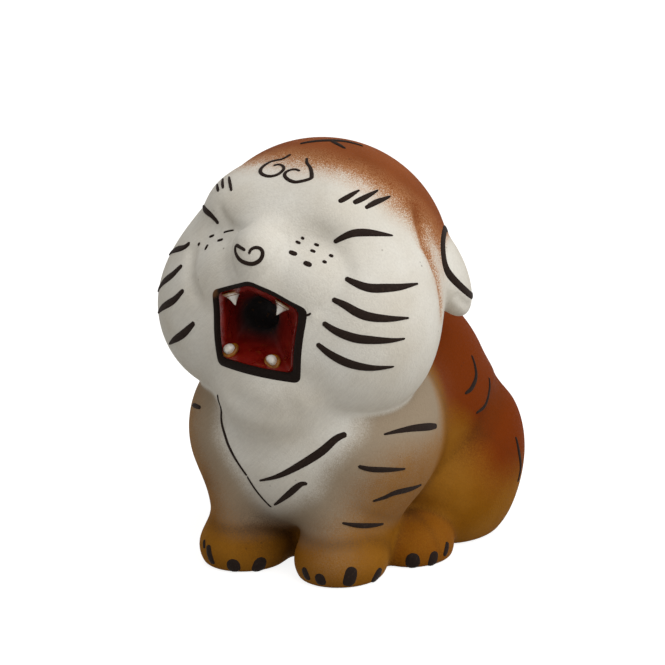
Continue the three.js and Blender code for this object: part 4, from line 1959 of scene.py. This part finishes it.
def far_stripe(width: float, run_on: float, *route: Pixel) -> Stroke:
    """Return a stripe that runs on round the far cheek."""
    return Stroke(route, width, finish=0.1, run_on=run_on)


def curl(width: float, *route: Pixel) -> Stroke:
    """Return a curled line that thins alike at both ends."""
    return Stroke(route, width, finish=0.5, fullest=0.5)


EYES = (
    Stroke(((333, 242), (343, 236.5), (352, 233), (362, 232), (374, 232.6), (393, 235)),
           1.35, 0.45, 0.1, 0.45),
    Stroke(((218, 223.5), (214, 218.5), (209, 213.5), (203.5, 208)), 1.1, 0.5, 0.3, 0.5, 2.0),
)
NEAR_BROW = (
    Stroke(((338, 201.5), (347, 196.5), (359.4, 189.4)), 0.9, 0.7, 0.15, 0.25),
    Stroke(((352.7, 202.7), (364, 197), (378, 189.4)), 0.95, 0.7, 0.15, 0.25),
    Stroke(((364.6, 207.6), (375.8, 201.5), (390.3, 195.5)), 0.95, 0.5, 0.15, 0.4),
)
FAR_BROW = (
    lash((218, 191), (216.7, 183.5)),
    lash((222.8, 188), (222.4, 178)),
    lash((231, 190.6), (229.5, 183), (228.5, 176)),
)
NEAR_CHEEK = (
    near_stripe((344.6, 277.3), (351.5, 281), (361.2, 285.3), (371, 287.6), (383, 287.6), (400, 286.4),
                (418, 283)),
    near_stripe((331.5, 298.5), (344, 304.5), (356.4, 311.8), (370, 316.5), (390, 318.3), (409, 317.4)),
    near_stripe((322, 322), (336, 331), (354, 337.6), (370, 339.6), (390, 340), (405, 338)),
    near_stripe((316, 343), (330, 354), (348, 363), (370, 367.5), (394, 366)),
)
FAR_CHEEK = (
    far_stripe(1.3, 4.0, (189.4, 242.1), (182.7, 247), (174, 249.6)),
    far_stripe(1.4, 4.0, (181.8, 264.8), (171.8, 274.2), (162, 282.5)),
    far_stripe(1.4, 4.0, (183.3, 289.4), (173, 299.7), (162, 306.8)),
    far_stripe(1.4, 3.0, (194, 322), (183, 333), (173, 340)),
)
WHISKER_DOTS = (
    dot((300.8, 236.8), (303.5, 238.4), 0.4),
    dot((295.2, 240.8), (300, 242.8), 0.4),
    dot((313.8, 243.4), (318.4, 245), 0.4),
    dot((310, 249.4), (314.8, 251.4), 0.5),
    dot((288.4, 251), (296.6, 253.8), 0.8),
    dot((303, 261.6), (311.2, 265), 0.9),
    dot((328.8, 254.4), (332.6, 256), 0.5),
    dot((322.2, 260.6), (326, 262), 0.5),
    dot((208.8, 236.5), (213.6, 234.6), 0.35),
    dot((217, 240.2), (222.4, 238.8), 0.55),
    dot((204.6, 249.4), (207.4, 244), 0.5),
    dot((197.8, 245.2), (199, 242.2), 0.4),
)
FINE_TICKS = (
    Stroke(((222.7, 232.4), (228, 230.6), (233.6, 229.6)), 0.22, 0.5, 0.3, 0.5),
    Stroke(((305.2, 314.8), (308, 314.2), (310.6, 312.6)), 0.3, 0.9, 0.2, 0.3),
)
NOSE_CURL = Stroke(
    ((245, 250), (240, 247), (235.5, 245), (234.8, 251), (239, 259), (247, 263), (254, 263), (260, 259),
     (262.3, 252.4), (259.7, 248), (254.5, 247), (250, 249.5), (248.3, 254)),
    0.68, 0.6, 0.5, 0.5,
)
FOREHEAD_CURLS = (
    curl(0.62, (290.6, 153.6), (282, 158.5), (271, 161), (262.7, 165.8), (259.7, 170.6), (262.7, 174.2),
         (269.4, 175.8), (277.3, 173.9), (282.7, 169.4), (282.7, 165.8), (278.5, 164), (272.4, 165.4)),
    curl(0.68, (306.4, 157.3), (306.4, 162), (310, 167.6), (311.2, 174.8), (310, 177.9), (302.7, 180.3),
         (294.2, 181.5), (287, 178.5), (284, 174.2), (287, 170.6), (294.2, 168.8), (299.7, 170.6)),
)
CROWN_MARK = (
    Stroke(((299, 143.5), (324, 140), (345, 141), (363, 146)), 1.3, 0.3, 0.2, 0.5),
    Stroke(((331, 140.6), (338, 144), (345, 148.2)), 0.95, 0.7, 0.3, 0.4),
)
BIB_EDGES = (
    Stroke(((258.5, 480.3), (278.2, 475.4), (299.2, 464.9), (320.3, 451.5), (335.7, 438.2), (346.2, 433.3)),
           1.5, 0.12, 0.6, 0.7),
    Stroke(((273.3, 504.8), (286.6, 495), (299.2, 484.5), (307, 483)), 1.2, 0.15, 0.4, 0.65),
    Stroke(((217.2, 394), (220.7, 415), (224.9, 436), (233.3, 455.7), (246.6, 475.6)), 0.42, 0.5, 0.6, 0.5),
    Stroke(((246.6, 475.6), (258.5, 493.6), (271.2, 507)), 0.18, 0.8, 0.5, 0.3),
)
LEG_STRIPES = (
    Stroke(((200.3, 407.3), (193.5, 404.8)), 0.8, 0.5, 0.7, 0.5, 1.0),
    Stroke(((383, 434), (398, 430.5), (415, 427.5), (436, 425.5)), 1.35, 0.12, 0.6, 0.7),
    Stroke(((357.4, 465.8), (369.3, 468.6), (388.5, 469.3), (405.2, 468.3)), 1.0, 0.5, 0.15, 0.35),
    Stroke(((372, 500.8), (384, 497), (398, 491.5), (421, 484)), 1.25, 0.2, 0.2, 0.5),
    Stroke(((341.3, 522.4), (362.3, 525.2), (383.4, 523.3)), 0.95, 0.2, 0.2, 0.5),
)
FLANK_STRIPES = (
    Stroke(((471, 354.4), (474.6, 365.6), (475.6, 376.7), (471, 387.8), (464.4, 393.3)), 0.95, 0.3, 0.3, 0.6,
           twin=True),
    Stroke(((488.5, 376.7), (488.5, 391.5), (484.8, 404.4), (475.6, 412.8)), 0.75, 0.3, 0.3, 0.5, twin=True),
    Stroke(((515, 436), (518.4, 450.7), (520, 467.4), (517, 482)), 0.95, 0.3, 0.3, 0.5, twin=True),
)
FRONT_CLAWS = (
    claw((303, 566.5), (308.5, 580), 1.7),
    claw((318.5, 573), (321.5, 585), 2.1),
    claw((351.5, 566), (347, 586), 2.5),
    claw((380, 567), (371.5, 583), 2.6),
    claw((204, 539), (203.8, 548), 0.8),
    claw((208, 544), (213, 564), 1.5),
    claw((232, 558.5), (234.5, 571), 2.6),
    claw((261, 556.5), (255.5, 571), 2.8),
)
HIND_CLAWS = (
    claw((411.5, 552.5), (412.5, 567), 2.8, twin=True),
    claw((434, 550.5), (429.5, 565), 2.2, twin=True),
    claw((447, 541), (443.5, 556), 1.35, twin=True),
)
# Strokes of each piece of brushwork
BRUSHED = {
    "face_strokes": (
        *EYES, *NEAR_BROW, *FAR_BROW, *NEAR_CHEEK, *FAR_CHEEK, *WHISKER_DOTS, *FINE_TICKS, NOSE_CURL,
    ),
    "crown_strokes": FOREHEAD_CURLS + CROWN_MARK,
    "chest_strokes": BIB_EDGES + LEG_STRIPES,
    "flank_strokes": FLANK_STRIPES,
    "claws": FRONT_CLAWS + HIND_CLAWS,
}


@dataclass(frozen=True)
class EarRing:
    """The ring on an ear's dome: its angles in degrees, and its sizes as shares of the dome's."""

    start: float = -5.0
    end: float = 365.0
    steps: int = 72
    along: float = 0.95
    up: float = 0.68
    skew: float = 0.13
    drop: float = 0.07
    least_dome: float = 0.02
    stroke: Stroke = Stroke((), 1.5, 0.5, 0.4, 0.5)

    def places(self, side: float) -> Array:
        """Find the ring on a unit ball.

        Args:
            side: 1 for the cub's left and -1 for its right.

        Returns:
            Places on the ball.
        """
        angles = np.radians(np.linspace(self.start, self.end, self.steps))
        up = self.up * np.sin(angles) - self.skew * np.cos(angles) - self.drop
        places = np.stack([np.zeros(len(angles)), self.along * np.cos(angles), up], axis=1)
        places[:, 0] = side * np.sqrt(np.clip(1.0 - (places**2).sum(axis=1), self.least_dome, 1.0))
        return places


@dataclass
class Brushwork:
    """The ink strokes, laid on the clay as thin films."""

    figure: Figure
    film: float = 0.1
    sunk: float = 0.14
    step: float = 0.3
    columns: tuple[float, ...] = (-1.0, -0.8, -0.4, 0.0, 0.4, 0.8, 1.0)
    edge_power: int = 6
    curve_steps: int = 12
    least_places: int = 9
    least_tip: float = 0.003

    def routes(self, strokes: Sequence[Stroke]) -> list[Array]:
        """Find the strokes' routes on the figure.

        Args:
            strokes: The strokes.

        Returns:
            Places on the surface for each stroke.
        """
        pixels = np.array([pixel for stroke in strokes for pixel in stroke.route], float)
        found = self.figure.cast(pixels)
        routes, start = [], 0
        for stroke in strokes:
            end = start + len(stroke.route)
            routes.append(self.figure.carried_on(found[start:end], stroke.run_on))
            start = end
        return routes

    def smooth(self, route: Array) -> Array:
        """Run a smooth curve through a route's places at even steps.

        Args:
            route: Places on the surface.

        Returns:
            Closely spaced places on the surface.
        """
        padded = np.concatenate([2 * route[:1] - route[1:2], route, 2 * route[-1:] - route[-2:-1]])
        curve = []
        for first, second, third, fourth in zip(padded, padded[1:], padded[2:], padded[3:]):
            for share in np.linspace(0.0, 1.0, self.curve_steps, endpoint=False):
                curve.append(0.5 * (
                    2 * second + (third - first) * share
                    + (2 * first - 5 * second + 4 * third - fourth) * share**2
                    + (3 * second - first - 3 * third + fourth) * share**3
                ))
        curve = self.figure.press(np.array(curve + [route[-1]]))
        length = np.concatenate([[0.0], np.cumsum(np.linalg.norm(np.diff(curve, axis=0), axis=1))])
        count = max(int(length[-1] / self.step) + 1, self.least_places)
        even = np.linspace(0.0, length[-1], count)
        return np.stack([np.interp(even, length, curve[:, axis]) for axis in range(3)], axis=1)

    def film_of(self, stroke: Stroke, route: Array, name: str) -> Piece:
        """Lay one stroke on the surface.

        Args:
            stroke: Its width and swelling.
            route: Its places on the surface.
            name: The name of the object.

        Returns:
            The film.
        """
        curve = self.smooth(route)
        tangent = np.gradient(curve, axis=0)
        tangent = tangent / (np.linalg.norm(tangent, axis=1, keepdims=True) + TINY)
        normal = self.figure.normals(curve)
        side = np.cross(normal, tangent)
        side = side / (np.linalg.norm(side, axis=1, keepdims=True) + TINY)
        half = stroke.width / 2
        run = np.linspace(0.0, 1.0, len(curve))
        rise = np.sin(0.5 * math.pi * run / stroke.fullest)
        fall = np.cos(0.5 * math.pi * (run - stroke.fullest) / (1 - stroke.fullest))
        rise = stroke.start + (1 - stroke.start) * rise
        fall = stroke.finish + (1 - stroke.finish) * fall
        swell = np.where(run < stroke.fullest, rise, fall)
        length = np.linalg.norm(np.diff(curve, axis=0), axis=1).sum()
        for end, along in ((stroke.start, run * length), (stroke.finish, (1 - run) * length)):
            tip = max(half * end, PROBE)
            short = 1.0 - np.clip(along / tip, 0.0, 1.0)
            swell = swell * np.sqrt(np.clip(1.0 - short**2, self.least_tip, 1.0))
        columns = np.array(self.columns)
        grid = curve[:, None] + side[:, None] * (columns[:, None] * half) * swell[:, None, None]
        flat = self.figure.press(grid.reshape(-1, 3), rounds=2)
        normals = self.figure.normals(flat)
        lift = self.film - (self.film + self.sunk) * np.abs(columns) ** self.edge_power
        lift = np.tile(lift, (len(curve), 1))
        lift[[0, -1]] = -self.sunk
        places = flat + normals * lift.reshape(-1, 1)
        return laid_grid(name, places.reshape(len(curve), len(columns), 3))

    def joined(self, films: Sequence[Piece], name: str, finishes: Finishes) -> Piece:
        """Join films into one piece of ink.

        Args:
            films: The films.
            name: The name of the piece.
            finishes: The materials.

        Returns:
            The piece.
        """
        piece = join_all(films, name)
        apply_modifier(piece, "SOLIDIFY", thickness=self.film * MM, offset=-1.0)
        return dress(piece, finishes.ink)

    def build(self, name: str, strokes: Sequence[Stroke], finishes: Finishes) -> Piece:
        """Lay a group of strokes as one piece.

        Args:
            name: The name of the piece.
            strokes: Its strokes.
            finishes: The materials.

        Returns:
            The piece.
        """
        films = []
        for stroke, route in zip(strokes, self.routes(strokes)):
            films.append(self.film_of(stroke, route, name))
            if stroke.twin:
                films.append(self.film_of(stroke, route * MIRROR, name))
        return self.joined(films, name, finishes)

    def ear_rings(self, finishes: Finishes) -> Piece:
        """Paint the black ring round each ear's dome.

        Args:
            finishes: The materials.

        Returns:
            The piece.
        """
        ring = EarRing()
        films = []
        for side, lump in zip((1.0, -1.0), self.figure.ear.pair()):
            route = self.figure.press(lump.out(ring.places(side)))
            films.append(self.film_of(ring.stroke, route, "ear_rings"))
        return self.joined(films, "ear_rings", finishes)


def seen_directly(tree: Tree) -> Socket:
    """Tell what the camera sees, also in gloss and through glass, from what lights the figure.

    Args:
        tree: The tree that asks.

    Returns:
        1 for what is seen and 0 for the rest.
    """
    rays = tree.add("LightPath")
    seen = tree.math("MAXIMUM", rays.outputs["Is Camera Ray"], rays.outputs["Is Glossy Ray"])
    return tree.math("MAXIMUM", seen, rays.outputs["Is Transmission Ray"])


@dataclass
class Setting:
    """The pale floor, the soft lamps, the surroundings and the camera."""

    view: PhotoView
    floor_size: float = 2.4
    ambient: float = 0.47
    key: float = 2.4
    side: float = 1.1
    floor_grey: str = "#b2b0ac"
    floor_glow: float = 0.86
    key_bearing: Spot = (0.42, -0.5, 0.8)
    side_bearing: Spot = (0.8, -0.5, 0.4)
    panel_size: float = 0.8
    panel_away: float = 0.62

    def floor(self) -> None:
        """Lay the floor, which keeps the figure's shadow."""
        bpy.ops.object.select_all(action="DESELECT")
        bpy.ops.mesh.primitive_plane_add(size=self.floor_size)
        floor = bpy.context.active_object
        floor.name = "floor"
        material = bpy.data.materials.new("pale_floor")
        material.use_nodes = True
        tree = Tree(material.node_tree)
        diffuse = tree.add("BsdfDiffuse", {"Color": colour(self.floor_grey)})
        strength = tree.math("MULTIPLY", seen_directly(tree), self.floor_glow)
        glow = tree.add("Emission", {"Color": WHITE, "Strength": strength})
        both = tree.add("AddShader", {0: diffuse.outputs[0], 1: glow.outputs[0]})
        tree.add("OutputMaterial", {"Surface": both.outputs[0]})
        floor.data.materials.append(material)

    def lamp(self, name: str, bearing: Spot, power: float) -> None:
        """Hang a soft lamp.

        Args:
            name: Its name.
            bearing: Its direction from the figure, right, back and up as the camera sees it.
            power: Its power.
        """
        forward, right, _ = self.view.axes()
        level = np.array([forward[0], forward[1], 0.0])
        level = level / np.linalg.norm(level)
        direction = right * bearing[0] + level * bearing[1] + np.array([0.0, 0.0, bearing[2]])
        direction = Vector(direction / np.linalg.norm(direction))
        panel = bpy.data.lights.new(name, "AREA")
        panel.shape = "SQUARE"
        panel.size = self.panel_size
        panel.energy = power
        lamp = bpy.data.objects.new(name, panel)
        lamp.location = Vector(self.view.target) * MM + direction * self.panel_away
        lamp.rotation_euler = (-direction).to_track_quat("-Z", "Y").to_euler()
        bpy.context.scene.collection.objects.link(lamp)

    def surroundings(self) -> None:
        """Fill the surroundings with even pale light and show them white."""
        world = bpy.data.worlds.new("studio")
        world.use_nodes = True
        tree = Tree(world.node_tree)
        dim = tree.add("Background", {"Color": WHITE, "Strength": self.ambient})
        white = tree.add("Background", {"Color": WHITE, "Strength": 1.0})
        both = tree.add("MixShader", {0: seen_directly(tree), 1: dim.outputs[0], 2: white.outputs[0]})
        tree.add("OutputWorld", {"Surface": both.outputs[0]})
        bpy.context.scene.world = world

    def build(self) -> None:
        """Set up the scene round the figure."""
        self.floor()
        self.lamp("key_panel", self.key_bearing, self.key)
        self.lamp("side_panel", self.side_bearing, self.side)
        self.surroundings()
        self.view.add_camera()
        bpy.context.scene.view_settings.view_transform = "Standard"


# Slot and replaced node of each piece of skin
SKIN_NODES = {
    "face_skin": ("cream_slip", "face_shell"),
    "skull_skin": ("sprayed_brown", "skull_shell"),
    "left_ear_skin": ("cream_slip", "left_ear"),
    "right_ear_skin": ("cream_slip", "right_ear"),
    "chest_skin": ("bib_slip", "chest_shell"),
    "back_skin": ("ochre_coat", "back_shell"),
    "left_front_paw_skin": ("ochre_coat", "left_front_paw"),
    "right_front_paw_skin": ("ochre_coat", "right_front_paw"),
    "left_hind_paw_skin": ("ochre_coat", "left_hind_paw"),
    "right_hind_paw_skin": ("ochre_coat", "right_hind_paw"),
    "tail_skin": ("ochre_coat", "tail"),
}


def report(piece: Piece) -> None:
    """Log a finished piece."""
    LOG.info("%s: %d faces", piece.name, len(piece.data.polygons))


def main() -> None:
    """Build every piece of the figure and its setting."""
    logging.basicConfig(level=logging.INFO, format="%(message)s")
    finishes = Finishes()
    figure = Figure()
    mouth = Mouth(figure)
    for name, piece in Skin(figure, mouth).build(finishes).items():
        slot, node = SKIN_NODES[name]
        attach(piece, ROOT)
        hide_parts(node)
        report(piece)
    lining = mouth.cup(finishes)
    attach(lining, ROOT)
    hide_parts("mouth_cup")
    report(lining)
    lip = mouth.lip_line(finishes)
    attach(lip, ROOT)
    report(lip)
    for fang, bead, node in mouth.fangs(finishes):
        for piece, slot, stood_for in ((fang, "tooth_white", node), (bead, "amber_glaze", f"{node}_bead")):
            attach(piece, ROOT)
            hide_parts(stood_for)
            report(piece)
    brush = Brushwork(figure)
    for name, strokes in BRUSHED.items():
        piece = brush.build(name, strokes, finishes)
        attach(piece, ROOT)
        report(piece)
    rings = brush.ear_rings(finishes)
    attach(rings, ROOT)
    report(rings)
    disc = frame["nodes"]["base_disc"]
    disc.data.materials.clear()
    disc.data.materials.append(finishes.bare)
    Setting(figure.view).build()


if __name__ == "__main__":
    main()
